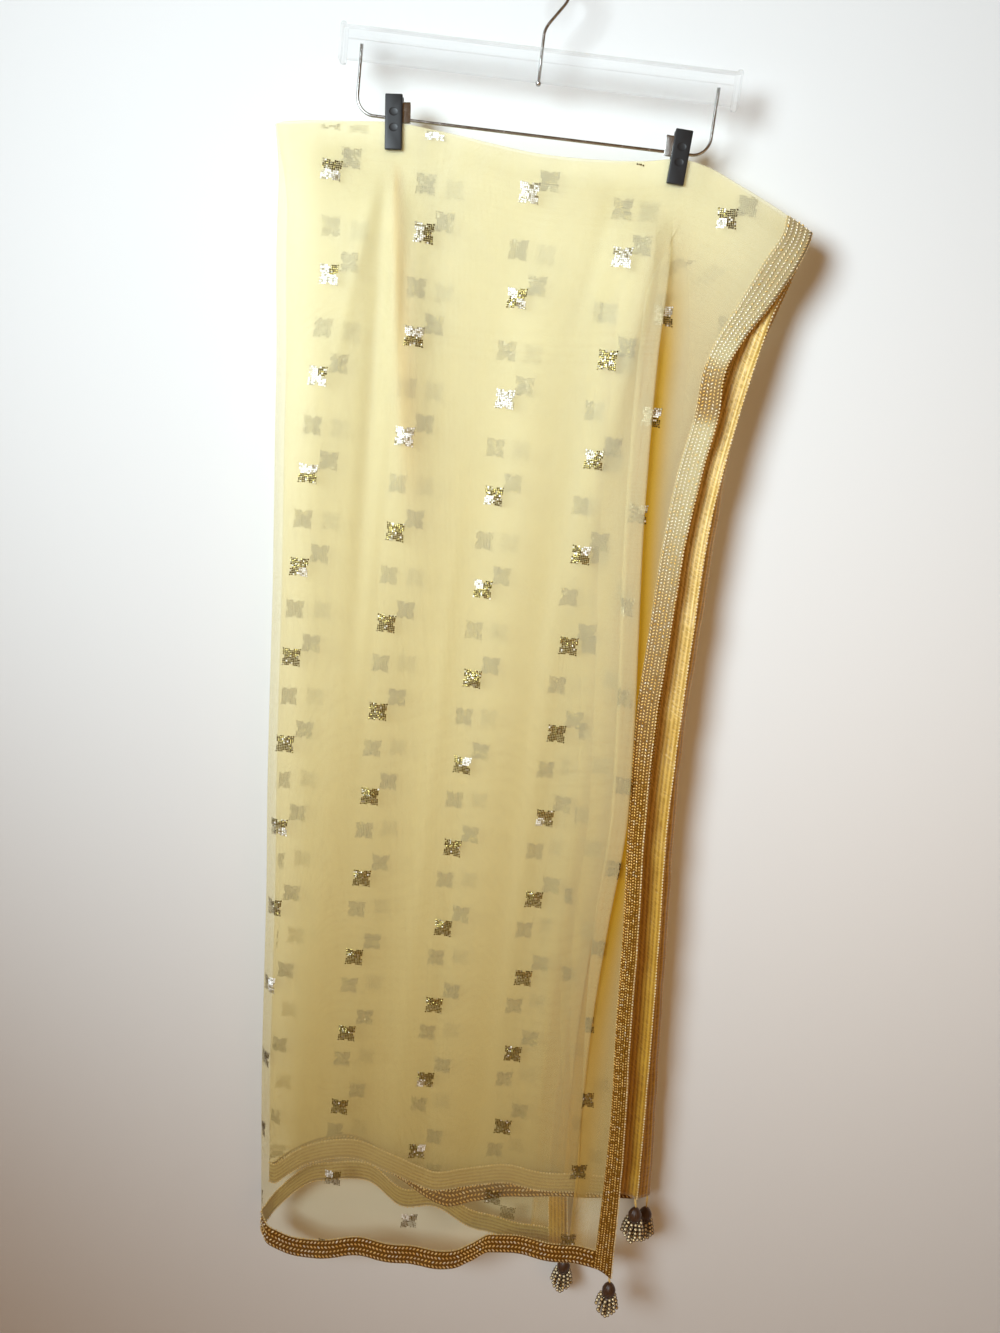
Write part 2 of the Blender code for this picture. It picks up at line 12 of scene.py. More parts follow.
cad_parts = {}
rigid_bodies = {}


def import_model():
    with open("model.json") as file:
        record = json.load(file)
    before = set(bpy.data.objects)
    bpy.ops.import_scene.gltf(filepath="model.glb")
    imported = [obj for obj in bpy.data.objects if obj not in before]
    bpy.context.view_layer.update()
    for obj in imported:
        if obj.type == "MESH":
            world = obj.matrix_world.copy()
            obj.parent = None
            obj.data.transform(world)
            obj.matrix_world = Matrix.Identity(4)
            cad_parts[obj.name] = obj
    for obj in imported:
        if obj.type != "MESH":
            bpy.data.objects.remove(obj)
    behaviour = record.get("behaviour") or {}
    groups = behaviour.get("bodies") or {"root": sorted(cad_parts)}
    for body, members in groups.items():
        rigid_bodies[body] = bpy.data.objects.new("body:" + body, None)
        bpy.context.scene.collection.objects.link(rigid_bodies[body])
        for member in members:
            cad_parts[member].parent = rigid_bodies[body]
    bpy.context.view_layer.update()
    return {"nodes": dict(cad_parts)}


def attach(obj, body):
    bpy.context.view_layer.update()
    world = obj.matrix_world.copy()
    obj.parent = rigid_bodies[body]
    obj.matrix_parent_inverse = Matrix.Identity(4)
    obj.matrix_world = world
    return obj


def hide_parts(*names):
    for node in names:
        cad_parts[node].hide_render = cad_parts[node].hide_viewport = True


for leftover in list(bpy.data.objects):
    bpy.data.objects.remove(leftover, do_unlink=True)

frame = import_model()

# ---------------------------------------------------------------------------------------
# Where it hangs. The hanger hangs in front of a pale painted wall, in soft daylight that
# comes from high on the left and fades down the wall. The wall is shown from its front
# only, so that the back of the stole can be looked at as well.

CAMERA_PLACE = (0.032, -1.067, -0.446)
CAMERA_DOWN = math.radians(12.27)
CAMERA_ROLL = math.radians(7.01)
CAMERA_LENS = 27.03
WALL_Y = 0.046
FLOOR_Z = -1.95
ROOM_HALF_WIDTH = 4.0
WALL_TOP = 1.6

WALL_COLOUR = (0.80, 0.80, 0.795, 1)
FLOOR_COLOUR = (0.74, 0.68, 0.60, 1)
ROOM_LIGHT = (1.0, 0.52, 0.19, 1)
ROOM_STRENGTH = 0.20
SEEN_ROOM = (0.80, 0.79, 0.78, 1)

Lamp = namedtuple("Lamp", "name place towards size spread power colour")
LAMPS = (
    Lamp(
        "window_light", (-1.12, -1.80, -0.10), (0.35, 0.0, -0.27), 1.0, 86, 17.3, (0.79, 0.925, 1.0)),
    Lamp("floor_bounce", (0.35, -1.3, -1.70), (0.1, 0.0, -1.3), 1.0, 180, 1.2, (1.0, 0.45, 0.10)),
    Lamp("warm_fill", (1.10, -1.45, -0.70), (0.25, 0.0, -0.75), 0.7, 60, 0.50, (1.0, 0.62, 0.30)),
    Lamp("back_light", (0.7, 1.6, 1.0), (0.0, 0.0, -0.4), 1.4, 120, 10.0, (1.0, 0.98, 0.95)),
)


def given(thing, **settings):
    """The thing, with its settings made."""
    for setting, value in settings.items():
        setattr(thing, setting, value)
    return thing


def shown(name, data):
    """A new object in the scene, at the origin."""
    item = bpy.data.objects.new(name, data)
    bpy.context.scene.collection.objects.link(item)
    return item


camera = shown("camera", given(bpy.data.cameras.new("camera"), lens=CAMERA_LENS, clip_start=0.01))
camera.matrix_world = (
    Matrix.Translation(CAMERA_PLACE)
    @ Matrix.Rotation(math.pi / 2 - CAMERA_DOWN, 4, "X")
    @ Matrix.Rotation(CAMERA_ROLL, 4, "Z")
)
bpy.context.scene.camera = camera
bpy.context.scene.view_settings.view_transform = "Standard"
bpy.context.scene.cycles.max_bounces = 4
bpy.context.scene.cycles.transparent_max_bounces = 40

for lamp in LAMPS:
    light = shown(lamp.name, given(
        bpy.data.lights.new(lamp.name, "AREA"), shape="DISK", size=lamp.size,
        spread=math.radians(lamp.spread), energy=lamp.power, color=lamp.colour))
    aim = Vector(lamp.towards) - Vector(lamp.place)
    given(light, location=lamp.place, rotation_euler=aim.to_track_quat("-Z", "Y").to_euler())


def fill(node, inputs):
    """Gives a node's inputs their plain values or other nodes' outputs."""
    for name, value in inputs.items():
        if isinstance(value, bpy.types.NodeSocket):
            node.id_data.links.new(value, node.inputs[name])
        else:
            node.inputs[name].default_value = value


def made(tree, kind, inputs=(), out=0, **settings):
    """A new node with its settings and inputs. Gives one of its outputs."""
    node = given(tree.nodes.new(kind), **settings)
    fill(node, dict(inputs))
    return node.outputs[out] if node.outputs else None


def either(tree, share, one, other):
    return made(tree, "ShaderNodeMixShader", {0: share, 1: one, 2: other})


room = bpy.data.worlds.new("room")
room.use_nodes = True
tree = room.node_tree
tree.nodes.clear()
warm = made(tree, "ShaderNodeBackground", {"Color": ROOM_LIGHT, "Strength": ROOM_STRENGTH})
pale = made(tree, "ShaderNodeBackground", {"Color": SEEN_ROOM})
looked_at = made(tree, "ShaderNodeLightPath", out="Is Camera Ray")
made(tree, "ShaderNodeOutputWorld", {"Surface": either(tree, looked_at, warm, pale)})
bpy.context.scene.world = room


def new_material(name, colour, roughness, metallic=0.0, **more):
    """A material with one Principled shader, whose plain values are set on its sockets."""
    material = bpy.data.materials.new(name)
    material.use_nodes = True
    shader = material.node_tree.nodes["Principled BSDF"]
    fill(shader, {"Base Color": colour, "Roughness": roughness, "Metallic": metallic})
    fill(shader, {socket.replace("_", " "): value for socket, value in more.items()})
    return material, material.node_tree, shader


def on_piece(tree):
    return made(tree, "ShaderNodeTexCoord", out="Object")


def noise(tree, place, scale, detail=2.0):
    return made(
        tree, "ShaderNodeTexNoise", {"Vector": place, "Scale": scale, "Detail": detail}, "Fac")


def bump(tree, height, strength, distance):
    return made(
        tree, "ShaderNodeBump", {"Height": height, "Strength": strength, "Distance": distance})


def mesh_piece(name, verts, faces, *materials):
    """A smooth-shaded mesh object at the origin, its place in its mesh."""
    mesh = bpy.data.meshes.new(name)
    mesh.from_pydata([tuple(v) for v in verts], [], faces)
    mesh.update()
    mesh.shade_smooth()
    for material in materials:
        mesh.materials.append(material)
    return shown(name, mesh)


plaster, tree, shader = new_material("painted_plaster", WALL_COLOUR, 0.9)
grain = noise(tree, on_piece(tree), scale=160.0, detail=4.0)
fill(shader, {"Normal": bump(tree, grain, strength=0.05, distance=0.001)})
behind = made(tree, "ShaderNodeNewGeometry", out="Backfacing")
clear = made(tree, "ShaderNodeBsdfTransparent")
fill(tree.nodes["Material Output"], {"Surface": either(tree, behind, shader.outputs[0], clear)})

floor_paint, *_ = new_material("pale_floor", FLOOR_COLOUR, 0.8)
wide = ROOM_HALF_WIDTH
wall = mesh_piece("wall", [
    (-wide, WALL_Y, FLOOR_Z), (wide, WALL_Y, FLOOR_Z), (wide, WALL_Y, WALL_TOP),
    (-wide, WALL_Y, WALL_TOP),
], [(0, 1, 2, 3)], plaster)
wall.visible_shadow = False
floor = mesh_piece("floor", [
    (-wide, -wide, FLOOR_Z), (wide, -wide, FLOOR_Z), (wide, wide, FLOOR_Z), (-wide, wide, FLOOR_Z),
], [(0, 1, 2, 3)], floor_paint)

# ---------------------------------------------------------------------------------------
# The net. One long rectangle of sheer pale yellow net is folded end over end and then in
# half down its length, and hangs by its top fold from two clips. It is a single sheet:
# it runs on over the top fold and round the long fold at the left.

TAPE_WIDTH = 0.025
NET_WALL = 0.0010
SEAM = 0.0003
PINCHED_HALF_GAP = (NET_WALL + SEAM) / 2
TOP_HALF_GAP = 0.0006
LAYER_HALF_GAP = 0.0040
PAIR_AT_TOP = 0.0035
PAIR_SPREAD = 0.0060
TOP_ROUNDING = 0.035
FOLD_ROUNDING = 0.014
INNER_FOLD_INSET = 0.010
INNER_INSET_AT_TOP = 0.0015
INNER_INSET_EASE = 0.09
CLIP_RELEASE_START = 0.012
SPREAD_RELEASE = 0.080
FOLD_RELEASE = 0.050
CLIP_WIDTH = 0.017
CLIP_FOOT_DROP = 0.176

CREST_ROUNDING = 0.008
BULGE_REACH = 0.075
CREST_BEND = 0.28
TUCK_BEND = 0.25
LEVELS_FROM, LEVELS_OVER = 1 / 3, 0.22
RIPPLE_HEAD, RIPPLE_EASE = 1.0, 0.35
RIPPLE_LEFT, RIPPLE_SIDE_EASE = -0.17, 0.06
RIPPLES_PER_METRE = 15
FIRST_COLUMNS = (0.0, 0.0015, 0.004, 0.007, 0.010)
RUN_SHARE = 0.92
FIRST_DROP = 0.165

DROPS = np.arange(0.140, 1.4601, 0.005)
NET_ROWS = 138
ROWS_CLOSER_AT_TOP = 1.25
MAIN_COLUMNS = 84
ARC_COLUMNS = 5
RUN_COLUMNS = 12
FOLD_ARC_ROWS = 3

Clip = namedtuple("Clip", "name x tilt inner_side")
CLIPS = (Clip("left", -0.1360, 4.7, 1), Clip("right", 0.1455, -2.2, -1))

# How the cloth lies at each level: the share of the pleat that is tucked, the left fold,
# the pleat's crest, and the four layers' long edges.
Level = namedtuple("Level", "drop tucked left_fold crest edge_1 edge_run edge_2 edge_3 edge_4")
LEVELS = (
    Level(0.150, 0.00, -0.2535, 0.1455, 0.2855, 0.0285, 0.2855, 0.2860, 0.2850),
    Level(0.205, 0.15, -0.2452, 0.1475, 0.2850, 0.0285, 0.2850, 0.2865, 0.2845),
    Level(0.240, 0.60, -0.2436, 0.1495, 0.2735, 0.0330, 0.2750, 0.2777, 0.2700),
    Level(0.280, 1.00, -0.2420, 0.1500, 0.2530, 0.0300, 0.2612, 0.2670, 0.2520),
    Level(0.310, 1.00, -0.2400, 0.1503, 0.2345, 0.0250, 0.2545, 0.2590, 0.2380),
    Level(0.345, 1.00, -0.2372, 0.1512, 0.2180, 0.0190, 0.2480, 0.2506, 0.2260),
    Level(0.390, 1.00, -0.2340, 0.1535, 0.2180, 0.0208, 0.2415, 0.2455, 0.2180),
    Level(0.450, 1.00, -0.2310, 0.1575, 0.2115, 0.0225, 0.2345, 0.2432, 0.2090),
    Level(0.520, 1.00, -0.2268, 0.1630, 0.2055, 0.0205, 0.2305, 0.2430, 0.2030),
    Level(0.620, 1.00, -0.2213, 0.1735, 0.2045, 0.0200, 0.2320, 0.2438, 0.1980),
    Level(0.720, 1.00, -0.2168, 0.1840, 0.2040, 0.0190, 0.2340, 0.2440, 0.1950),
    Level(0.840, 0.95, -0.2112, 0.1930, 0.2103, 0.0155, 0.2385, 0.2510, 0.1930),
    Level(0.960, 0.85, -0.2040, 0.1900, 0.2214, 0.0145, 0.2490, 0.2620, 0.1900),
    Level(1.080, 0.60, -0.1985, 0.1900, 0.2305, 0.0140, 0.2590, 0.2730, 0.1870),
    Level(1.200, 0.35, -0.1930, 0.1950, 0.2420, 0.0145, 0.2680, 0.2845, 0.1860),
    Level(1.310, 0.15, -0.1860, 0.2000, 0.2505, 0.0175, 0.2755, 0.2950, 0.1920),
    Level(1.450, 0.00, -0.1765, 0.2050, 0.2590, 0.0215, 0.2800, 0.3000, 0.2100),
)
Drop = namedtuple("Drop", "x drop")
TOP_FOLD = (
    Drop(-0.2535, 0.1650), Drop(-0.1900, 0.1560), Drop(-0.1360, 0.1515), Drop(-0.0980, 0.1536),
    Drop(-0.0400, 0.1603), Drop(0.0100, 0.1645), Drop(0.0680, 0.1632), Drop(0.1200, 0.1575),
    Drop(0.1455, 0.1525), Drop(0.1735, 0.1565), Drop(0.2050, 0.1690), Drop(0.2510, 0.1890),
    Drop(0.2860, 0.2060),
)
Layer = namedtuple("Layer", "number side pair depth tuck lean ripple phase loop hem")
LAYERS = (
    Layer(1, -1, 1, 0.0090, 0.020, 0.000, 0.0015, 0.4, 0.005, (
        Drop(-0.1765, 1.4330), Drop(-0.1240, 1.4490), Drop(-0.0605, 1.4374),
        Drop(0.0000, 1.4400), Drop(0.0640, 1.4380), Drop(0.0850, 1.4250),
        Drop(0.1070, 1.4067), Drop(0.1760, 1.4087), Drop(0.2590, 1.4125))),
    Layer(2, -1, -1, 0.0055, 0.030, 0.014, 0.0006, 1.7, 0.008, (
        Drop(-0.1700, 1.3580), Drop(-0.1286, 1.3224), Drop(-0.0777, 1.3080),
        Drop(-0.0300, 1.3200), Drop(0.0239, 1.3377), Drop(0.0622, 1.3290),
        Drop(0.1092, 1.3157), Drop(0.1580, 1.3195), Drop(0.2755, 1.3110))),
    Layer(3, 1, -1, 0.0055, 0.034, 0.024, 0.0006, 2.9, 0.021, (
        Drop(-0.1700, 1.3600), Drop(-0.1286, 1.3250), Drop(-0.0777, 1.3100),
        Drop(-0.0300, 1.3300), Drop(0.0420, 1.3690), Drop(0.0776, 1.3570),
        Drop(0.1130, 1.3464), Drop(0.1660, 1.3380), Drop(0.2950, 1.3230))),
    Layer(4, 1, 1, 0.0090, 0.022, 0.045, 0.0015, 4.1, 0.020, (
        Drop(-0.1765, 1.4250), Drop(-0.1250, 1.3674), Drop(-0.0940, 1.3598),
        Drop(-0.0500, 1.3540), Drop(-0.0106, 1.3837), Drop(0.0325, 1.3800),
        Drop(0.0930, 1.4060), Drop(0.2100, 1.4190))),
)
# Soft folds that all four layers share, the large ones first. lift is how far the cloth
# comes forward.
FOLD_SKEW = 0.6
Fold = namedtuple("Fold", "x_head x_foot head foot half_width lift")
FOLDS = (
    Fold(-0.1500, -0.2050, 0.178, 0.620, 0.026, 0.0050),
    Fold(-0.1360, -0.1250, 0.178, 0.760, 0.010, -0.0060),
    Fold(-0.1240, -0.0700, 0.178, 0.640, 0.022, 0.0090),
    Fold(0.0000, -0.0200, 0.190, 1.100, 0.034, -0.0040),
    Fold(0.0300, 0.0500, 0.260, 1.380, 0.030, 0.0045),
    Fold(0.1300, 0.0900, 0.178, 0.700, 0.018, 0.0050),
    Fold(-0.1400, -0.1300, 0.700, 1.440, 0.024, 0.0045),
    Fold(-0.0600, -0.0500, 0.620, 1.440, 0.026, -0.0040),
    Fold(-0.1420, -0.1760, 0.180, 0.420, 0.007, 0.0036),
    Fold(-0.1310, -0.1000, 0.180, 0.470, 0.007, 0.0040),
    Fold(-0.1080, -0.1080, 0.200, 0.900, 0.006, -0.0020),
    Fold(0.1380, 0.1180, 0.180, 0.430, 0.006, 0.0020),
    Fold(0.0900, 0.0600, 0.175, 0.360, 0.009, -0.0016),
    Fold(-0.2100, -0.2050, 0.420, 1.200, 0.010, 0.0016),
    Fold(-0.0300, -0.0250, 0.500, 1.350, 0.008, 0.0013),
    Fold(0.0850, 0.0900, 0.560, 1.390, 0.011, 0.0020),
    Fold(0.0050, 0.0150, 0.820, 1.440, 0.009, -0.0015),
    Fold(0.1350, 0.1420, 0.760, 1.400, 0.012, 0.0022),
    Fold(-0.1650, -0.1500, 0.900, 1.430, 0.009, -0.0014),
)


def smooth(rows, key, value, at):
    """The values at places in a table, smooth through its rows."""
    places = np.array([getattr(row, key) for row in rows])
    values = np.array([getattr(row, value) for row in rows])
    last = len(rows) - 1
    before = np.maximum(np.arange(last + 1) - 1, 0)
    after = np.minimum(np.arange(last + 1) + 1, last)
    slopes = (values[after] - values[before]) / (places[after] - places[before])
    at = np.clip(at, places[0], places[-1])
    i = np.clip(np.searchsorted(places, at, "right") - 1, 0, last - 1)
    step = places[i + 1] - places[i]
    t = (at - places[i]) / step
    return (
        values[i] * (2 * t**3 - 3 * t**2 + 1)
        + values[i + 1] * (3 * t**2 - 2 * t**3)
        + step * slopes[i] * (t**3 - 2 * t**2 + t)
        + step * slopes[i + 1] * (t**3 - t**2)
    )


def ease(share):
    share = np.clip(share, 0.0, 1.0)
    return share * share * (3 - 2 * share)


def rounding(distance, reach):
    return np.sin(np.pi / 2 * np.clip(distance / reach, 0.0, 1.0))


def mix(a, b, share):
    return a + (b - a) * share


def level(drop, name):
    return smooth(LEVELS, "drop", name, drop)


def top_drop(x):
    return smooth(TOP_FOLD, "x", "drop", x)


def release(x, drop, reach):
    """0 where a clip pinches the layers together, 1 from reach away from both clips."""
    shares = []
    for clip in CLIPS:
        aside = np.maximum(np.abs(x - clip.x) - CLIP_WIDTH / 2, 0.0)
        below = np.maximum(drop - CLIP_FOOT_DROP, 0.0)
        shares.append(ease((np.hypot(aside, below) - CLIP_RELEASE_START) / reach))
    return np.minimum(*shares)


def soft_folds(x, drop):
    """How far the shared folds carry the cloth back at a place."""
    moved = 0.0
    for fold in FOLDS:
        along = np.clip((drop - fold.head) / (fold.foot - fold.head), 0.0, 1.0)
        swell = along**FOLD_SKEW
        height = 4 * swell * (1 - swell)
        offset = (x - mix(fold.x_head, fold.x_foot, along)) / fold.half_width
        moved = moved - fold.lift * height * np.exp(-offset * offset)
    return moved * release(x, drop, FOLD_RELEASE)


def inner_inset(layer, drop):
    """How far inside the outer fold a layer turns at the left."""
    if layer.pair > 0:
        return 0.0
    opened = ease((drop - TOP_FOLD[0].drop) / INNER_INSET_EASE)
    return mix(INNER_INSET_AT_TOP, INNER_FOLD_INSET, opened)


def layer_depth(layer, x, drop):
    """Y of a layer's flat part, between the pinched clips, the top fold and the left fold."""
    free = release(x, drop, SPREAD_RELEASE)
    rise = rounding(drop - top_drop(x), TOP_ROUNDING)
    pair = 2 * PINCHED_HALF_GAP + free * (PAIR_AT_TOP + PAIR_SPREAD * rise)
    half = PINCHED_HALF_GAP + free * (TOP_HALF_GAP + LAYER_HALF_GAP * rise)
    into = rounding(x - level(drop, "left_fold") - inner_inset(layer, drop), FOLD_ROUNDING)
    away = mix(PINCHED_HALF_GAP, pair + layer.pair * half, into)
    ripple = layer.ripple * ease((drop - RIPPLE_HEAD) / RIPPLE_EASE)
    ripple = ripple * ease((x - RIPPLE_LEFT) / RIPPLE_SIDE_EASE)
    wave = np.sin(2 * np.pi * RIPPLES_PER_METRE * x + layer.phase)
    return layer.side * away + ripple * wave


def edge_of(layer, drop):
    """X of a layer's long edge and the run of its tape."""
    edge = level(drop, f"edge_{layer.number}")
    run = level(drop, "edge_run") if layer.number == 1 else RUN_SHARE * TAPE_WIDTH + 0 * drop
    return edge, run


def section(layer, drop):
    """A layer at one level, as x and y off its flat part, from the left fold to the tape.

    The panel swells to the pleat's crest, doubles back under it, and comes out again.
    """
    tucked = float(level(drop, "tucked"))
    left = float(level(drop, "left_fold") + inner_inset(layer, drop))
    crest = float(level(drop, "crest")) - layer.lean
    edge, run = edge_of(layer, drop)
    tape = float(edge - run)
    depth = layer.depth
    bend, tuck_bend = CREST_BEND * depth, TUCK_BEND * depth
    reach = crest - layer.tuck
    inner = depth - 2 * bend - tuck_bend

    last_main = crest - CREST_ROUNDING
    first = left + np.array(FIRST_COLUMNS)
    main = np.concatenate([first, np.linspace(first[-1], last_main, MAIN_COLUMNS + 1)[1:]])
    bulge = depth * ease(1 - (last_main - main) / BULGE_REACH)

    quarter = np.linspace(np.pi / 2, -np.pi / 2, ARC_COLUMNS)
    run_share = np.linspace(0, 1, RUN_COLUMNS + 1)
    out_x = mix(reach + tuck_bend, tape, run_share[1:])
    levelling = ease((out_x - mix(reach, tape, LEVELS_FROM)) / (LEVELS_OVER * (tape - reach)))
    back_out = (inner - tuck_bend) * (1 - levelling)
    xs = np.concatenate([
        crest - bend + bend * np.cos(quarter),
        mix(crest - bend, reach + tuck_bend, run_share[1:-1]),
        reach + tuck_bend - tuck_bend * np.cos(quarter),
        out_x,
    ])
    ys = np.concatenate([
        depth - bend + bend * np.sin(quarter),
        np.full(RUN_COLUMNS - 1, depth - 2 * bend),
        inner + tuck_bend * np.sin(quarter),
        back_out,
    ])
    steps = np.hypot(np.diff(np.append(last_main, xs)), np.diff(np.append(depth, ys)))
    share = np.cumsum(steps) / steps.sum()
    xs = mix(mix(last_main, tape, share), xs, tucked)
    return np.append(main, xs), layer.side * tucked * np.append(bulge, ys)


def net_point(layer, x, off, drop):
    y = layer_depth(layer, x, drop) + off * release(x, drop, FOLD_RELEASE) + soft_folds(x, drop)
    return np.stack([x, y, -drop], axis=-1)


def drops_down(layer, x_at, alongs):
    """The drops of the points down one column, from the top fold (0) to the hem (1)."""
    high = FIRST_DROP
    for _ in range(3):
        high = float(top_drop(x_at(high)))
    low = float(smooth(layer.hem, "x", "drop", x_at(layer.hem[-1].drop)))
    return mix(high, low, alongs)


def net_panel(layer, alongs):
    """A layer's net as an array of points, column by column from the left fold."""
    levels = [section(layer, drop) for drop in DROPS]
    xs = np.array([x for x, _ in levels])
    ys = np.array([y for _, y in levels])
    columns = []
    for c in range(xs.shape[1]):
        drop = drops_down(layer, lambda at: np.interp(at, DROPS, xs[:, c]), alongs)
        x = np.interp(drop, DROPS, xs[:, c])
        columns.append(net_point(layer, x, np.interp(drop, DROPS, ys[:, c]), drop))
    return np.array(columns)


def net_foot(layer):
    """The share of the way down where the net ends and the hem tape begins."""
    return 1 - TAPE_WIDTH / (layer.hem[-1].drop - FIRST_DROP)


def grid_faces(columns, rows):
    return [
        (c * rows + r, c * rows + r + 1, (c + 1) * rows + r + 1, (c + 1) * rows + r)
        for c in range(columns - 1) for r in range(rows - 1)
    ]


def over_the_fold(front, back):
    """Rows that carry the cloth over the top fold, from one layer's first row to the other's."""
    rows = []
    half = np.linalg.norm(front - back, axis=-1) / 2
    half = np.minimum(half, PINCHED_HALF_GAP + TOP_HALF_GAP)
    for k in range(1, FOLD_ARC_ROWS + 1):
        angle = math.pi * k / (FOLD_ARC_ROWS + 1)
        point = mix(front, back, (1 - math.cos(angle)) / 2)
        point[..., 2] += half * math.sin(angle)
        rows.append(point)
    return np.stack(rows, axis=1)


def wrapped(low_end, high_end):
    """Two layers joined over the top fold: rows run from the low hem up, over and down."""
    arc = over_the_fold(low_end[:, 0], high_end[:, 0])
    return np.concatenate([low_end[:, ::-1], arc, high_end], axis=1)


def round_left_fold(front, back):
    """Two stretches of cloth joined by the turn of the left fold."""
    turn = (front[-1] + back[0]) / 2
    turn[:, 0] -= PINCHED_HALF_GAP
    return np.concatenate([front, turn[None], back])


panels = {}
for layer in LAYERS:
    rows = net_foot(layer) * np.linspace(0, 1, NET_ROWS + 1) ** ROWS_CLOSER_AT_TOP
    panels[layer.number] = net_panel(layer, rows)

sheet_points = round_left_fold(
    wrapped(panels[1], panels[2])[::-1], wrapped(panels[4], panels[3]))
sheet_columns = len(sheet_points)


def flat_map(piece, points):
    """A UV map that lays a grid of points out flat, in metres."""
    across = np.linalg.norm(np.diff(points, axis=0), axis=-1)
    across = np.cumsum(np.vstack([np.zeros(points.shape[1]), across]), axis=0)
    down = np.linalg.norm(np.diff(points, axis=1), axis=-1)
    down = np.cumsum(np.hstack([np.zeros((points.shape[0], 1)), down]), axis=1)
    flat = np.stack([across, down], axis=-1).reshape(-1, 2)
    layer = piece.data.uv_layers.new(name="flat")
    corners = np.empty(len(piece.data.loops), dtype=int)
    piece.data.loops.foreach_get("vertex_index", corners)
    layer.data.foreach_set("uv", flat[corners].astype(np.float32).ravel())


def math_of(tree, operation, *values, **settings):
    return made(tree, "ShaderNodeMath", enumerate(values), operation=operation, **settings)


def woven_group():
    """Shader group: fine threads along and across. Gives their mask and their height."""
    group = bpy.data.node_groups.new("fine_threads", "ShaderNodeTree")
    for name, way, kind in (
        ("Flat", "INPUT", "Vector"), ("Threads per Metre", "INPUT", "Float"),
        ("Thread Share", "INPUT", "Float"), ("Mask", "OUTPUT", "Float"), ("Height", "OUTPUT", "Float"),
    ):
        group.interface.new_socket(name, in_out=way, socket_type=f"NodeSocket{kind}")
    into = group.nodes.new("NodeGroupInput").outputs
    scaled = made(
        group, "ShaderNodeVectorMath", {0: into["Flat"], "Scale": into["Threads per Metre"]},
        operation="SCALE")
    ways = group.nodes.new("ShaderNodeSeparateXYZ")
    fill(ways, {0: scaled})
    half = math_of(group, "MULTIPLY", into["Thread Share"], 0.5)
    saws = [math_of(group, "PINGPONG", ways.outputs[axis], 0.5) for axis in "XY"]
    on_thread = [math_of(group, "LESS_THAN", saw, half) for saw in saws]
    made(group, "NodeGroupOutput", {
        "Mask": math_of(group, "MAXIMUM", *on_thread),
        "Height": math_of(group, "MULTIPLY_ADD", math_of(group, "MINIMUM", *saws), -2.0, 1.0),
    })
    return group


fine_threads = woven_group()


def laid_flat(tree):
    return made(tree, "ShaderNodeUVMap", uv_map="flat")


def stretched(tree, place, by):
    return made(tree, "ShaderNodeMapping", {"Vector": place, "Scale": by})


def attribute(tree, name):
    return made(tree, "ShaderNodeAttribute", out="Fac", attribute_name=name)


def threads_of(tree, per_metre, share):
    """The mask and the height of a cloth's threads, on its flat map."""
    threads = tree.nodes.new("ShaderNodeGroup")
    threads.node_tree = fine_threads
    fill(threads, {"Flat": laid_flat(tree), "Threads per Metre": per_metre, "Thread Share": share})
    return threads.outputs["Mask"], threads.outputs["Height"]


def span(tree, value, low=0.0, high=1.0, to_low=0.0, to_high=1.0):
    """A value carried from one span to another, held at its ends."""
    return made(tree, "ShaderNodeMapRange", {
        "Value": value, "From Min": low, "From Max": high, "To Min": to_low, "To Max": to_high})


def blend(tree, share, one, other, way="MIX"):
    return made(
        tree, "ShaderNodeMix", {"Factor": share, "A": one, "B": other}, "Result",
        data_type="RGBA", blend_type=way)


def mark(mesh, name, values, kind="FLOAT"):
    """Writes an attribute for every point of a mesh."""
    marks = mesh.attributes.new(name, kind, "POINT").data
    marks.foreach_set(
        "value" if kind == "FLOAT" else "vector", np.asarray(values, dtype=np.float32).ravel())


NET_COLOUR = (0.95, 0.94, 0.77, 1)
NET_DEEPER = (0.93, 0.89, 0.64, 1)
# Painted shade: the net's colour towards the foot.
NET_LOW_SHADE = (0.80, 0.70, 0.36, 1)
# Painted shade: the net's golden colour where fold shade is painted.
FOLD_SHADE_GOLD = (0.60, 0.34, 0.012, 1)
NET_TINT = (1.0, 0.98, 0.90, 1)
# Painted shade: the tint of the net's gaps towards the foot.
NET_LOW_SHADE_TINT = (0.985, 0.95, 0.83, 1)
NET_OPEN, NET_CLOSED = 0.17, 0.45
NET_GLOW = 0.25
NET_ALONE = 0.46
# Heights between which the painted shade towards the foot comes in.
NET_LOW_SHADE_BETWEEN = (-0.25, -1.30)
NET_ALONE_BETWEEN = (-1.28, -1.34)
# How much more opaque the net is made where fold shade is painted.
FOLD_SHADE_OPACITY = 0.50

net_cloth, tree, shader = new_material(
    "yellow_net", NET_COLOUR, 0.62, Sheen_Weight=0.15, Sheen_Roughness=0.4)
mask, thread_height = threads_of(tree, per_metre=1100.0, share=0.28)
streaks = noise(tree, stretched(tree, laid_flat(tree), (6.0, 0.7, 1.0)), scale=9.0, detail=3.0)
height = made(tree, "ShaderNodeSeparateXYZ", {0: on_piece(tree)}, "Z")
# Painted shade: from the first height down to the second, the net's colour and the tint of its gaps turn
# deeper and warmer.
painted_low_shade = span(tree, height, *NET_LOW_SHADE_BETWEEN)
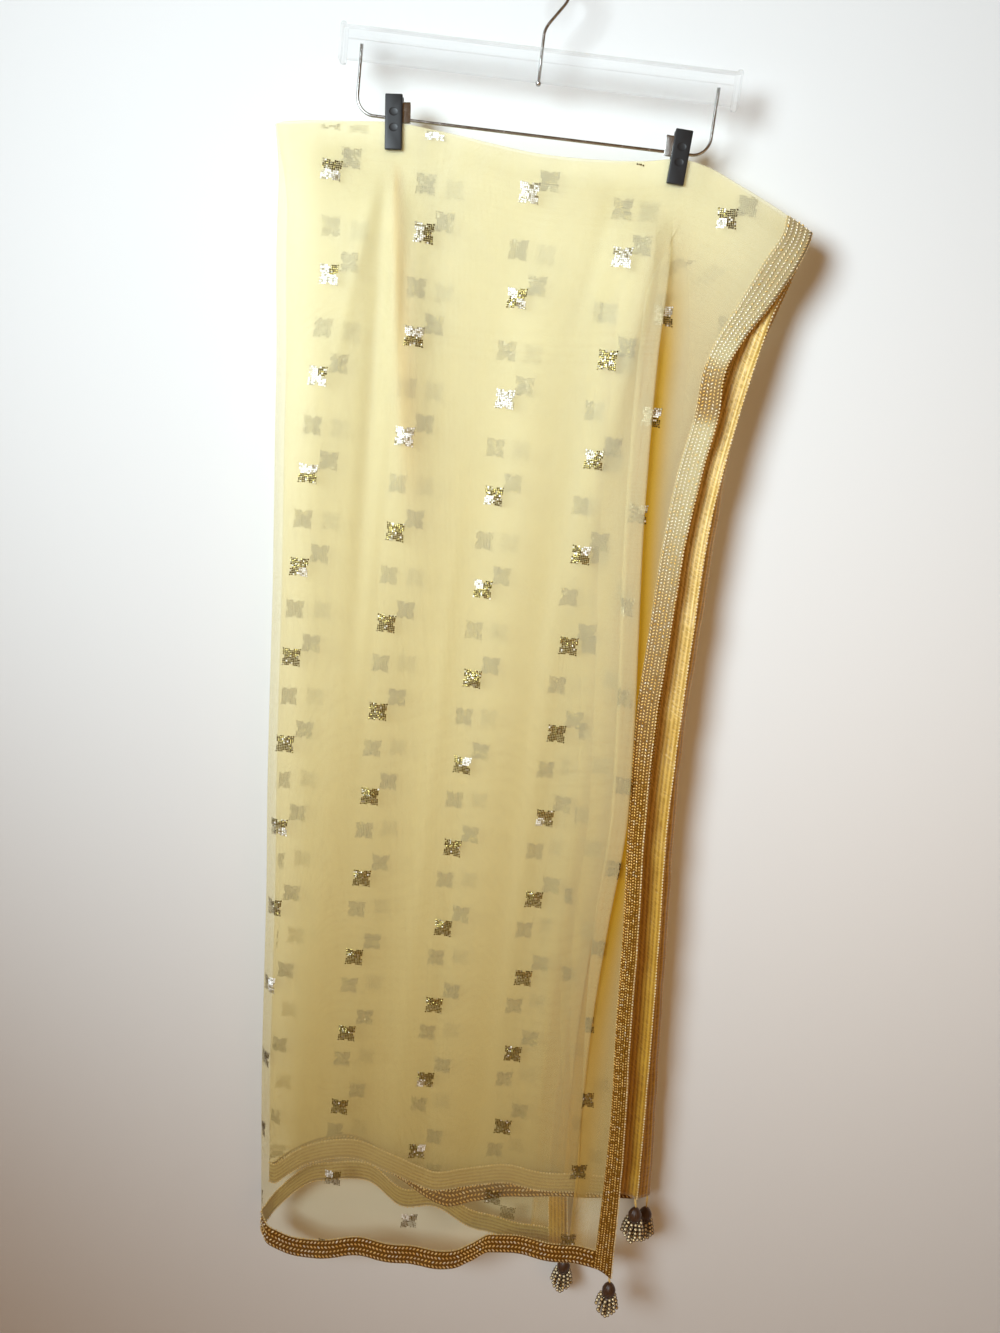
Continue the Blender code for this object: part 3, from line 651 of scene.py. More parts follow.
# Painted fold shade: where it lies, the net turns golden, less glossy and more opaque.
depth = attribute(tree, "in_fold")
dye_and_low_shade = blend(tree, painted_low_shade, blend(tree, streaks, NET_COLOUR, NET_DEEPER), NET_LOW_SHADE)
gold = blend(tree, depth, dye_and_low_shade, FOLD_SHADE_GOLD)
fill(shader, {
    "Base Color": gold,
    "Specular IOR Level": span(tree, depth, to_low=0.4, to_high=0.0),
    "Normal": bump(tree, thread_height, strength=0.25, distance=0.0002),
})
glow = made(tree, "ShaderNodeBsdfTranslucent", {"Color": gold})
thread = either(tree, NET_GLOW, shader.outputs[0], glow)
gaps = made(tree, "ShaderNodeBsdfTransparent", {"Color": blend(tree, painted_low_shade, NET_TINT, NET_LOW_SHADE_TINT)})
cover = span(tree, mask, to_low=NET_OPEN, to_high=NET_CLOSED)
alone = span(tree, height, *NET_ALONE_BETWEEN, to_low=1.0, to_high=NET_ALONE)
closed = math_of(
    tree, "MULTIPLY_ADD", depth, FOLD_SHADE_OPACITY, math_of(tree, "MULTIPLY", cover, alone), use_clamp=True)
fill(tree.nodes["Material Output"], {"Surface": either(tree, closed, gaps, thread)})

net = mesh_piece(
    "net", sheet_points.reshape(-1, 3), grid_faces(*sheet_points.shape[:2]), net_cloth)
flat_map(net, sheet_points)


# Painted shade on the net: golden shade painted past the pleat's crest, in the crease that
# runs down from the left clip, and between the front edges.
FOLD_SHADE_REACH, FOLD_SHADE_EASE = 0.020, 0.006
FOLD_SHADE_NEAR, FOLD_SHADE_FAR, FOLD_FARTHER = 0.64, 0.36, 6
FOLD_DARKENS_AT, FOLD_DARKENS_OVER = 0.17, 0.18
FOLD_PALES_AT, FOLD_PALES_OVER, FOLD_PALES_BY = 0.90, 0.35, 0.3
CREASE_SHADE = 0.42
CREASE_HEAD, CREASE_LENGTH = 0.18, 0.32
CREASE_X = (-0.132, -0.086)
CREASE_HALF_WIDTH = (0.0040, 0.0145)
CREASE_INNER_SIDE, CREASE_OUTER_SIDE = 0.6, 1.3
CREASE_RISES_AT, CREASE_RISES_OVER = 0.178, 0.03
CREASE_FADES_AT, CREASE_FADES_OVER = 0.38, 0.20
EDGE_SHADE_REACH, EDGE_SHADE_HEAD, EDGE_SHADE_OVER = 0.020, 0.24, 0.12


def in_fold(points, number):
    """Painted shade at a point: past the pleat's crest, in the left crease, between front edges."""
    x, drop = points[..., 0], -points[..., 2]
    columns = np.arange(len(points))[:, None]
    main = MAIN_COLUMNS + len(FIRST_COLUMNS)
    crest = level(drop, "crest") - LAYERS[number - 1].lean
    past = np.maximum(x - crest, 0.0) / FOLD_SHADE_REACH
    shade = FOLD_SHADE_NEAR * np.exp(-past ** 3) + FOLD_SHADE_FAR * np.exp(-past / FOLD_FARTHER)
    shade = shade * ease((x - crest) / FOLD_SHADE_EASE + 1)
    shade = np.where(columns > main + ARC_COLUMNS, shade, 0.0)
    under = ease((drop - FOLD_DARKENS_AT) / FOLD_DARKENS_OVER)
    under = under * (1 - FOLD_PALES_BY * ease((drop - FOLD_PALES_AT) / FOLD_PALES_OVER))
    down = (drop - CREASE_HEAD) / CREASE_LENGTH
    beside = x - mix(*CREASE_X, down)
    wide = mix(*CREASE_HALF_WIDTH, np.clip(down, 0, 1))
    wide = wide * np.where(beside < 0, CREASE_INNER_SIDE, CREASE_OUTER_SIDE)
    soft = CREASE_SHADE * np.exp(-(beside / wide) ** 2)
    soft = soft * ease((drop - CREASE_RISES_AT) / CREASE_RISES_OVER)
    soft = soft * (1 - ease((drop - CREASE_FADES_AT) / CREASE_FADES_OVER))
    edge, run = edge_of(LAYERS[number - 1], drop)
    front_edge, front_run = edge_of(LAYERS[0], drop)
    between = np.exp(-((edge - run - x) / EDGE_SHADE_REACH) ** 2) * (number > 1)
    between = between * ease((drop - EDGE_SHADE_HEAD) / EDGE_SHADE_OVER)
    between = between * ease((x - front_edge + front_run) / FOLD_SHADE_EASE)
    return np.clip(shade * under + soft * (columns <= main) + between, 0, 1)


shades = {layer.number: in_fold(panels[layer.number], layer.number) for layer in LAYERS}
plain = np.zeros((sheet_columns, FOLD_ARC_ROWS))
front_shade = np.concatenate([shades[1][:, ::-1], plain[: len(shades[1])], shades[2]], axis=1)[::-1]
back_shade = np.concatenate([shades[4][:, ::-1], plain[: len(shades[4])], shades[3]], axis=1)
shade = np.concatenate([front_shade, 0 * front_shade[:1], back_shade])
mark(net.data, "in_fold", shade)
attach(net, "root")
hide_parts(*(f"layer_{layer.number}_net" for layer in LAYERS))

# ---------------------------------------------------------------------------------------
# The motifs. Small square four-petal motifs of flat silver sequins are sewn to the net's
# right side in half-drop rows about 98 mm apart. The net was folded after it was sewn, so
# the two outer layers show them on their faces and the others only through the net.

MOTIF_PITCH = 0.0985
MOTIF_ROW_PITCH = 0.098
MOTIF_CELL = 0.0019
PETAL_SIDE = 5
PETAL_NOTCH = ((4, 0), (0, 4))
PETAL_CELLS = [
    (i, j) for i in range(PETAL_SIDE) for j in range(PETAL_SIDE) if (i, j) not in PETAL_NOTCH]
PETAL_TIP_REACH = 0.25
SEQUIN_ACROSS = 0.0021
SEQUIN_THICKNESS = 0.0004
SEQUIN_OFF_CLOTH = 0.0006
PETAL_TILT = math.radians(11)
PETAL_UNEVEN = math.radians(7)
SEQUIN_UNEVEN = math.radians(6)
PETAL_DIAGONAL = 0.7
MOTIF_COLUMNS, MOTIF_ROWS_DOWN = range(-3, 4), range(-1, 14)
MOTIF_MARGIN = 0.001
LOOK_ASIDE, LOOK_UP = 0.0015, 0.003
# Painted glints: the share of petals painted bright falls from the top towards the foot.
BRIGHT_AT_TOP, BRIGHT_AT_FOOT = 0.50, 0.06
GLINTS_FADE_FROM, GLINTS_FADE_OVER = 0.25, 0.55
BRIGHT_TONE, TONE_VARIES, TONE_SKEW = 0.45, 0.52, 1.3
GLINT_TONE, GLINTS = 0.5, 0.22
INNER_MOTIFS = 0.45
LAID_STEP = 0.002
DROP_STEP = DROPS[1] - DROPS[0]
LAID = np.arange(-0.275, 0.330, LAID_STEP)

MotifRows = namedtuple("MotifRows", "layer middle first_row")
MOTIF_ROWS = (
    MotifRows(1, 0.004, 0.202),
    MotifRows(2, 0.022, 0.187),
    MotifRows(3, -0.001, 0.251),
    MotifRows(4, 0.027, 0.251),
)


def run_of(points):
    """How far along a path each of its points is."""
    return np.append(0, np.cumsum(np.linalg.norm(np.diff(points, axis=0), axis=1)))


def read_run(run, values, places):
    """Points or directions read off a run at places along it."""
    return np.stack([np.interp(places, run, values[:, k]) for k in range(3)], axis=-1)


def laid_out(layer):
    """A layer's net measured along the cloth from its middle: points by drop and distance,
    and where the net begins and ends at each drop."""
    grid, ends = [], []
    for drop in DROPS:
        x, off = section(layer, drop)
        points = net_point(layer, x, off, drop + 0 * x)
        run = run_of(points[:, :2])
        run -= np.interp(0.0, x[:MAIN_COLUMNS], run[:MAIN_COLUMNS])
        grid.append(read_run(run, points, LAID))
        ends.append((run[0], run[-1]))
    return np.array(grid), np.array(ends)


def on_cloth(grid, along, drop):
    """Points of a laid-out layer at distances along it and drops."""
    i = np.clip((drop - DROPS[0]) / DROP_STEP, 0, len(DROPS) - 1.001)
    j = np.clip((along - LAID[0]) / LAID_STEP, 0, len(LAID) - 1.001)
    i0, j0 = i.astype(int), j.astype(int)
    di, dj = (i - i0)[:, None], (j - j0)[:, None]
    return (
        grid[i0, j0] * (1 - di) * (1 - dj) + grid[i0 + 1, j0] * di * (1 - dj)
        + grid[i0, j0 + 1] * (1 - di) * dj + grid[i0 + 1, j0 + 1] * di * dj
    )


def unit(v):
    return v / np.maximum(np.linalg.norm(v, axis=-1, keepdims=True), 1e-12)


def lying(across, facing):
    """The turns, as XYZ Euler angles, that lay a grain's X along across and its Z along facing."""
    z = unit(facing)
    x = unit(across - z * np.sum(across * z, axis=-1, keepdims=True))
    y = np.cross(z, x)
    return np.stack([
        np.arctan2(y[:, 2], z[:, 2]),
        -np.arcsin(np.clip(x[:, 2], -1, 1)),
        np.arctan2(x[:, 1], x[:, 0]),
    ], axis=-1)


def grain_tree():
    """Geometry Nodes: a small closed grain on every point, turned to lie on the cloth."""
    tree = bpy.data.node_groups.new("sewn_grains", "GeometryNodeTree")
    sockets = {}
    for name, kind in (
        ("Geometry", "Geometry"), ("Sides", "Int"), ("Rings", "Int"), ("Across", "Float"),
        ("Along", "Float"), ("Thickness", "Float"), ("Unevenness", "Float"), ("Seed", "Int"),
        ("Material", "Material"),
    ):
        socket = tree.interface.new_socket(name, in_out="INPUT", socket_type=f"NodeSocket{kind}")
        sockets[name] = socket.identifier
    tree.interface.new_socket("Geometry", in_out="OUTPUT", socket_type="NodeSocketGeometry")
    into = tree.nodes.new("NodeGroupInput").outputs
    grain = made(tree, "GeometryNodeMeshUVSphere", {
        "Radius": 0.5, "Segments": into["Sides"], "Rings": into["Rings"]}, "Mesh")
    size = made(tree, "ShaderNodeCombineXYZ", {
        "X": into["Across"], "Y": into["Along"], "Z": into["Thickness"]})
    chance = made(tree, "FunctionNodeRandomValue", {
        2: math_of(tree, "SUBTRACT", 1.0, into["Unevenness"]),
        3: math_of(tree, "ADD", 1.0, into["Unevenness"]), "Seed": into["Seed"],
    }, 1, data_type="FLOAT")
    sized = made(tree, "ShaderNodeVectorMath", {0: size, "Scale": chance}, operation="SCALE")
    lie = made(
        tree, "GeometryNodeInputNamedAttribute", {"Name": "lie"}, "Attribute",
        data_type="FLOAT_VECTOR")
    placed = made(tree, "GeometryNodeInstanceOnPoints", {
        "Points": into["Geometry"], "Instance": grain, "Scale": sized,
        "Rotation": made(tree, "FunctionNodeEulerToRotation", {0: lie}),
    })
    real = made(tree, "GeometryNodeRealizeInstances", {0: placed})
    made(tree, "NodeGroupOutput", {
        0: made(tree, "GeometryNodeSetMaterial", {"Geometry": real, "Material": into["Material"]})})
    return tree, sockets


sewn_grains, grain_sockets = grain_tree()


def grains(name, places, lies, tones, material, rounded=True, **sizes):
    """A piece made of small grains at places, from the sewn_grains tree."""
    cloud = bpy.data.meshes.new(f"{name}_points")
    cloud.from_pydata([tuple(p) for p in places], [], [])
    mark(cloud, "lie", lies, "FLOAT_VECTOR")
    mark(cloud, "tone", tones)
    holder = shown(f"{name}_points", cloud)
    modifier = holder.modifiers.new("grains", "NODES")
    modifier.node_group = sewn_grains
    for size, value in sizes.items():
        modifier[grain_sockets[size]] = value
    modifier[grain_sockets["Material"]] = material
    seen = holder.evaluated_get(bpy.context.evaluated_depsgraph_get())
    mesh = bpy.data.meshes.new_from_object(seen)
    mesh.name = name
    bpy.data.objects.remove(holder)
    if rounded:
        mesh.shade_smooth()
    return shown(name, mesh)


def ramp(tree, share, *stops):
    """A colour read off a run of stops, each a place and a colour."""
    node = tree.nodes.new("ShaderNodeValToRGB")
    first, *middle, last = stops
    for stop, (place, colour) in zip(node.color_ramp.elements, (first, last)):
        stop.position, stop.color = place, colour
    for place, colour in middle:
        node.color_ramp.elements.new(place).color = colour
    fill(node, {"Fac": share})
    return node.outputs["Color"]


SEQUIN_DARK = (0.20, 0.155, 0.045, 1)
SEQUIN_SILVER = (0.97, 0.97, 0.95, 1)
sequin_foil, tree, shader = new_material("sequin_foil", SEQUIN_DARK, 0.24, metallic=0.9)
# Painted glints: high tones are painted silver-white, rougher and less metallic; low tones are dark metal.
tone = attribute(tree, "tone")
fill(shader, {
    "Base Color": ramp(tree, tone, (0.38, SEQUIN_DARK), (0.80, SEQUIN_SILVER)),
    "Roughness": span(tree, tone, to_low=0.16, to_high=0.42),
    "Metallic": span(tree, tone, low=0.45, high=0.75, to_low=0.9, to_high=0.25),
})


def motif_points(layer, rows, chance):
    """Where a layer's sequins sit, how they lie, and how bright each is."""
    grid, ends = laid_out(layer)
    shown_share = 1.0 if layer.number == 1 else INNER_MOTIFS
    cells = []
    for k in MOTIF_COLUMNS:
        middle = rows.middle + k * MOTIF_PITCH
        for j in MOTIF_ROWS_DOWN:
            drop = rows.first_row + MOTIF_ROW_PITCH * (j + 0.5 * (k % 2))
            for right, up in ((1, 1), (-1, 1), (-1, -1), (1, -1)):
                # Painted glints: a petal is painted bright more often high up, and a few sequins get a
                # painted glint; the rest of the tone varies at random.
                share = mix(BRIGHT_AT_TOP, BRIGHT_AT_FOOT, ease((drop - GLINTS_FADE_FROM) / GLINTS_FADE_OVER))
                bright = chance.random() < share
                tilt = PETAL_TILT + PETAL_UNEVEN * chance.normal()
                for i, n in PETAL_CELLS:
                    tip = PETAL_TIP_REACH if i == n == PETAL_SIDE - 1 else 0.0
                    cells.append((
                        middle + right * (i + 0.5 + tip) * MOTIF_CELL,
                        drop - up * (n + 0.5 + tip) * MOTIF_CELL,
                        right * math.sin(tilt) * PETAL_DIAGONAL + SEQUIN_UNEVEN * chance.normal(),
                        up * math.sin(tilt) * PETAL_DIAGONAL + SEQUIN_UNEVEN * chance.normal(),
                        (BRIGHT_TONE * bright + TONE_VARIES * chance.random() ** TONE_SKEW
                         + GLINT_TONE * (chance.random() < GLINTS * share)) * shown_share,
                    ))
    along, drop, lean_x, lean_y, tones = np.array(cells).T
    begins = np.interp(drop, DROPS, ends[:, 0]) + 2 * MOTIF_MARGIN
    stops = np.interp(drop, DROPS, ends[:, 1]) - MOTIF_MARGIN
    middle = on_cloth(grid, along, drop)
    high = top_drop(middle[:, 0]) + 1.5 * MOTIF_MARGIN
    low = smooth(layer.hem, "x", "drop", middle[:, 0]) - TAPE_WIDTH - MOTIF_MARGIN
    kept = (along > begins) & (along < stops) & (drop > high) & (drop < low)
    along, drop, lean_x, lean_y, tones, middle = (
        v[kept] for v in (along, drop, lean_x, lean_y, tones, middle))
    side, rise = LOOK_ASIDE, LOOK_UP
    across = unit(on_cloth(grid, along + side, drop) - on_cloth(grid, along - side, drop))
    up = unit(on_cloth(grid, along, drop - rise) - on_cloth(grid, along, drop + rise))
    face = unit(np.cross(across, up))
    if layer.number in (2, 4):
        face = -face
    facing = face + across * lean_x[:, None] + up * lean_y[:, None]
    return middle + face * SEQUIN_OFF_CLOTH, lying(across, facing), tones


chance = np.random.default_rng(11)
sewn = [motif_points(LAYERS[rows.layer - 1], rows, chance) for rows in MOTIF_ROWS]
on_the_net = []
for half, layers in (("front", sewn[:2]), ("back", sewn[2:])):
    motifs = grains(
        f"sequin_motifs_{half}", *(np.concatenate(parts) for parts in zip(*layers)), sequin_foil,
        rounded=False, Sides=5, Rings=2, Across=SEQUIN_ACROSS, Along=SEQUIN_ACROSS,
        Thickness=SEQUIN_THICKNESS, Unevenness=0.06, Seed=4,
    )
    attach(motifs, "root")
    on_the_net.append(motifs)

# ---------------------------------------------------------------------------------------
# The border tape. A 25 mm tape is sewn round all four sides. Its right side is a
# metallic braid of slanted beads in chevrons, and its wrong side is a yellow satin ribbon
# with rows of stitching and small edge loops. Down layer 3 it hangs turned over.

TAPE_TURN_SHARE, TAPE_TURN_HEAD, TAPE_TURN_EASE = 0.8, 0.24, 0.12
RIBBON_THICKNESS = 0.0007
RIBBON_COLUMNS = 6
RIBBON_ROWS = 260
HEM_COLUMN_ROWS = 6
TAPE_WAVE, TAPE_WAVE_HEAD = 0.00096, 0.27
Wave = namedtuple("Wave", "size length phase")
TAPE_WAVES = (Wave(1.0, 0.085, 2.1), Wave(0.6, 0.0527, 1.0))
BEAD_COLUMNS = 6
BEAD_STEP = 0.0034
BEAD_LONG, BEAD_BROAD, BEAD_HIGH = 0.0034, 0.0017, 0.0016
BEAD_SLANT = math.radians(46)
BEAD_LOOSE, BEAD_STANDS = 0.10, 0.3
HEM_BEADS_LARGER = 1.35
# How much paler the hem's beads are painted, as painted highlights.
HEM_BEADS_PALER = 0.26
LOOK_ALONG = 0.002
LOOP_STEP = 0.0036
LOOP_SIZE, LOOP_PAST_EDGE, LOOP_STANDS = 0.0020, 0.0004, 0.2
LOOP_PALE, LOOP_UNEVEN = 0.6, 0.3

# Bead colours along the tone: silver where painted light is highest, down to bronze in painted shade.
TAPE_SILVER = (1.0, 0.93, 0.76, 1)
TAPE_GOLD = (0.95, 0.70, 0.30, 1)
TAPE_OLD_GOLD = (1.0, 0.64, 0.17, 1)
TAPE_BRONZE = (0.42, 0.20, 0.015, 1)
BRAID_GROUND = (0.20, 0.080, 0.004, 1)
# The braid ground's colour where painted light is high.
BRAID_GROUND_LIT = (0.54, 0.45, 0.24, 1)
SATIN = (0.80, 0.55, 0.17, 1)
SATIN_SHADE = (0.50, 0.31, 0.06, 1)
# The satin's painted shade low down.
SATIN_LOW_SHADE = (0.74, 0.62, 0.20, 1)
HEM_SATIN = (0.50, 0.38, 0.14, 1)
HEM_SATIN_SHADE = (0.36, 0.25, 0.08, 1)
LOOP_THREAD = (0.90, 0.76, 0.50, 1)
STITCH_ROWS_PER_METRE = 210.0
TURNED_OVER = RIBBON_ROWS - 4


def tape_panel(layer, shares, alongs):
    """A long edge tape as an array of points, [across][down], from the net to the edge."""
    columns = []
    for share in shares:
        def x_at(drop):
            edge, run = edge_of(layer, drop)
            return edge - run + run * share
        drop = drops_down(layer, x_at, alongs)
        edge, run = edge_of(layer, drop)
        turn = layer.side * TAPE_TURN_SHARE * np.sqrt(np.maximum(TAPE_WIDTH**2 - run**2, 0.0))
        turn = turn * ease((drop - TAPE_TURN_HEAD) / TAPE_TURN_EASE)
        points = net_point(layer, x_at(drop), turn * share**2, drop)
        wave = sum(
            part.size * np.sin(2 * np.pi * drop / part.length + part.phase * layer.phase)
            for part in TAPE_WAVES)
        points[:, 1] += TAPE_WAVE * share * wave * ease((drop - TAPE_WAVE_HEAD) / TAPE_TURN_EASE)
        columns.append(points)
    return np.array(columns)


def edge_ribbon(up_layer, down_layer):
    """The tape up one layer's edge, over the top fold and down the other's: [along][across]."""
    shares = np.linspace(0, 1, RIBBON_COLUMNS + 1)
    alongs = np.linspace(0, 1, RIBBON_ROWS + 1) ** ROWS_CLOSER_AT_TOP
    up = tape_panel(up_layer, shares, alongs)
    down = tape_panel(down_layer, shares, alongs)
    arc = over_the_fold(up[:, 0], down[:, 0])
    return np.concatenate([up[:, ::-1], arc, down], axis=1).transpose(1, 0, 2)


def end_ribbon(from_layer, to_layer):
    """The tape along a short end, from one layer's side tape round the left fold to the
    other's: [along][across]."""
    halves = []
    for layer in (from_layer, to_layer):
        alongs = mix(net_foot(layer), 1.0, np.linspace(0, 1, HEM_COLUMN_ROWS + 1))
        halves.append(net_panel(layer, alongs))
    return round_left_fold(halves[0][::-1], halves[1])


def ribbon(name, points, *materials):
    piece = mesh_piece(name, points.reshape(-1, 3), grid_faces(*points.shape[:2]), *materials)
    flat_map(piece, points)
    given(
        piece.modifiers.new("thickness", "SOLIDIFY"), thickness=RIBBON_THICKNESS, offset=0.0,
        material_offset=1, material_offset_rim=1)
    return piece


def run_along(points, step):
    """Frames every step along a ribbon: a function of the share across, giving the points,
    their across and along directions, and the way the right side faces."""
    run = run_of(points.mean(axis=1))
    stations = np.arange(step / 2, run[-1], step)

    def at(share, shift=0.0):
        place = np.clip(stations + shift, 0, run[-1])
        column = np.clip(share, 0, 1) * (points.shape[1] - 1)
        c = min(int(column), points.shape[1] - 2)
        line = mix(points[:, c], points[:, c + 1], column - c)
        spread = points[:, c + 1] - points[:, c]
        ahead, behind = np.minimum(place + LOOK_ALONG, run[-1]), np.maximum(place - LOOK_ALONG, 0)
        along = unit(read_run(run, line, ahead) - read_run(run, line, behind))
        across = unit(read_run(run, spread, place))
        return read_run(run, line, place), across, along, unit(np.cross(across, along))

    return at


# Painted light on the braid, by drop: its beads and ground are painted pale, as silver, high
# up where the light catches it, in two bright stretches, and old gold further down in shade.
BraidLight = namedtuple("BraidLight", "drop pale")
BRAID_PAINTED_LIGHT = (
    BraidLight(0.15, 0.84), BraidLight(0.25, 0.88), BraidLight(0.29, 1.00), BraidLight(0.330, 1.00), BraidLight(0.348, 0.58),
    BraidLight(0.388, 0.52), BraidLight(0.404, 0.96), BraidLight(0.50, 0.84), BraidLight(0.58, 0.60), BraidLight(0.66, 0.48),
    BraidLight(0.78, 0.32), BraidLight(1.00, 0.20), BraidLight(1.30, 0.18), BraidLight(1.45, 0.34),
)
BEAD_UNEVEN, BEAD_GLINT, BEAD_GLINTS = 0.22, 0.35, 0.10


def bead_tones(drop, chance):
    """How pale each bead is: painted light by drop, random unevenness, painted glints on a few."""
    pale = smooth(BRAID_PAINTED_LIGHT, "drop", "pale", drop) + BEAD_UNEVEN * chance.normal(size=drop.shape)
    return np.clip(pale + BEAD_GLINT * (chance.random(drop.shape) < BEAD_GLINTS), 0, 1)


braid_ground, tree, shader = new_material("braid_ground", BRAID_GROUND, 0.6, Specular_IOR_Level=0.2)
mask, thread_height = threads_of(tree, per_metre=1300.0, share=0.6)
# Painted light: the ground is painted paler where the braid's painted light is high.
painted_light = span(tree, attribute(tree, "tone"), low=0.30)
ground_with_painted_light = blend(tree, painted_light, BRAID_GROUND, BRAID_GROUND_LIT)
fill(shader, {
    "Base Color": blend(tree, 1.0, ground_with_painted_light, span(tree, mask, to_low=0.6), "MULTIPLY"),
    "Normal": bump(tree, thread_height, strength=0.5, distance=0.0003),
})


def satin_material(name, pale, shade, low):
    """Ribbed satin: lines of stitching along it, fine puckers across, painted shade low down."""
    material, tree, shader = new_material(name, pale, 0.38, Sheen_Weight=0.3)
    flat = laid_flat(tree)
    across = made(tree, "ShaderNodeSeparateXYZ", {0: flat}, "Y")
    rows = math_of(tree, "MULTIPLY", across, STITCH_ROWS_PER_METRE * 2 * math.pi)
    ribs = math_of(tree, "SINE", rows)
    puckers = noise(tree, stretched(tree, flat, (520.0, 90.0, 1.0)), scale=1.0, detail=1.5)
    relief = math_of(tree, "MULTIPLY_ADD", ribs, 0.22, puckers)
    # The relief darkens the colour too: darker stitch rows, and painted shade in the puckers.
    dye = blend(tree, span(tree, relief, low=0.30, high=0.60), shade, pale)
    # Painted shade: the satin is made deeper where the ribbon's painted light is low.
    painted_low_shade = span(tree, attribute(tree, "tone"), low=0.62, high=0.16)
    fill(shader, {
        "Base Color": blend(tree, painted_low_shade, dye, low, "MULTIPLY"),
        "Normal": bump(tree, relief, strength=0.9, distance=0.0009),
    })
    return material


satin = satin_material("yellow_satin", SATIN, SATIN_SHADE, low=SATIN_LOW_SHADE)
hem_satin = satin_material("hem_satin", HEM_SATIN, HEM_SATIN_SHADE, low=(1.0, 1.0, 1.0, 1))

gold_bead, tree, shader = new_material("gold_bead", TAPE_GOLD, 0.32, metallic=0.55)
# Painted light and glints: the beads' colour follows their tone, from bronze in shade through old gold and
# gold to silver.
fill(shader, {"Base Color": ramp(
    tree, attribute(tree, "tone"),
    (0.0, TAPE_BRONZE), (0.22, TAPE_OLD_GOLD), (0.58, TAPE_GOLD), (1.0, TAPE_SILVER),
)})
loop_thread, tree, shader = new_material("loop_thread", LOOP_THREAD, 0.5)
fill(shader, {"Base Color": blend(tree, attribute(tree, "tone"), SATIN, LOOP_THREAD)})

Tape = namedtuple("Tape", "name points nodes")
TAPES = (
    Tape("edge_tape_front", edge_ribbon(LAYERS[0], LAYERS[1]), ("layer_1_side_tape", "layer_2_side_tape")),
    Tape("edge_tape_back", edge_ribbon(LAYERS[2], LAYERS[3]), ("layer_3_side_tape", "layer_4_side_tape")),
    Tape("end_tape_low", end_ribbon(LAYERS[3], LAYERS[0]), ("layer_1_hem_tape", "layer_4_hem_tape")),
    Tape("end_tape_high", end_ribbon(LAYERS[1], LAYERS[2]), ("layer_2_hem_tape", "layer_3_hem_tape")),
)
for count, tape in enumerate(TAPES):
    chance = np.random.default_rng(20 + count)
    at_edge = tape.name.startswith("edge")
    turned = TURNED_OVER if tape.name == "edge_tape_back" else 0
    wrong_side = satin if at_edge else hem_satin
    band = ribbon(tape.name, tape.points, braid_ground, wrong_side, braid_ground)
    for polygon in band.data.polygons:
        polygon.material_index = int(polygon.index < turned * RIBBON_COLUMNS)
    # The ribbon's tone is the braid's painted light by drop: it lightens the braid's ground and sets the
    # satin's painted shade.
    mark(band.data, "tone", smooth(BRAID_PAINTED_LIGHT, "drop", "pale", -tape.points[..., 2]))
    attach(band, "root")
    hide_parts(*tape.nodes)

    # Hem beads are larger, and painted paler as painted highlights.
    larger, paler = (1.0, 0.0) if at_edge else (HEM_BEADS_LARGER, HEM_BEADS_PALER)
    bead_columns = round(BEAD_COLUMNS / larger)
    beads_at = run_along(tape.points, BEAD_STEP * larger)
    turned_run = run_of(tape.points.mean(axis=1))[turned]
    sewn = []
    for column in range(bead_columns):
        shift = BEAD_STEP / 2 * (column % 4 > 1)
        point, across, along, out = beads_at((column + 0.5) / bead_columns, shift)
        out[: int(turned_run / BEAD_STEP)] *= -1
        slant = BEAD_SLANT if column % 2 else -BEAD_SLANT
        way = along * math.cos(slant) + across * math.sin(slant)
        loose = BEAD_LOOSE * chance.normal(size=out.shape)
        lifted = point + out * (RIBBON_THICKNESS / 2 + BEAD_HIGH * BEAD_STANDS)
        sewn.append((lifted, lying(way, out + loose), bead_tones(-point[:, 2], chance) + paler))
    beads = grains(
        f"{tape.name}_beads", *map(np.concatenate, zip(*sewn)), gold_bead, Sides=5, Rings=4,
        Across=BEAD_LONG * larger, Along=BEAD_BROAD * larger, Thickness=BEAD_HIGH,
        Unevenness=0.10, Seed=30 + count,
    )
    loops_at = run_along(tape.points, LOOP_STEP)
    sewn = []
    for share in (1.0, 0.0):
        point, across, along, out = loops_at(share)
        lifted = point + across * LOOP_PAST_EDGE * share
        lifted = lifted - out * (RIBBON_THICKNESS / 2 + LOOP_SIZE * LOOP_STANDS)
        pale = np.clip(LOOP_PALE + LOOP_UNEVEN * chance.normal(size=len(out)), 0, 1)
        sewn.append((lifted, lying(along, out), pale))
    loops = grains(
        f"{tape.name}_loops", *map(np.concatenate, zip(*sewn)), loop_thread, Sides=5, Rings=3,
        Across=LOOP_SIZE * 1.3, Along=LOOP_SIZE, Thickness=LOOP_SIZE,
        Unevenness=0.15, Seed=40 + count,
    )
    for piece in (beads, loops):
        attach(piece, "root")
    on_the_net += [band, beads, loops]

# ---------------------------------------------------------------------------------------
# The corner tassels. One hangs from each corner of the tape on a short thread loop: an
# onion-shaped head wound with dark brown silk, and strings of small gold beads below it.

STRAND_RADIUS = 0.0012
CAP_RADIUS, CAP_HEIGHT, CAP_NARROWING = 0.008, 0.020, 0.25
INNER_TASSEL_LEAN = 0.004
CAP_TIP = 0.0002
LOOP_RADIUS, LOOP_OPEN, LOOP_TUCKED = 0.0006, 0.0008, 0.001
CAP_THREADS, CAP_THREAD_DEPTH = 18, 0.035
CAP_RINGS, CAP_SIDES = 16, 72
STRING_RADIUS, STRING_UNEVEN = 0.00035, 0.003
STRING_BEAD, STRING_BEAD_STEP = 0.0044, 0.0047
SILK_BROWN = (0.050, 0.018, 0.004, 1)
SILK_PLUM = (0.085, 0.035, 0.028, 1)
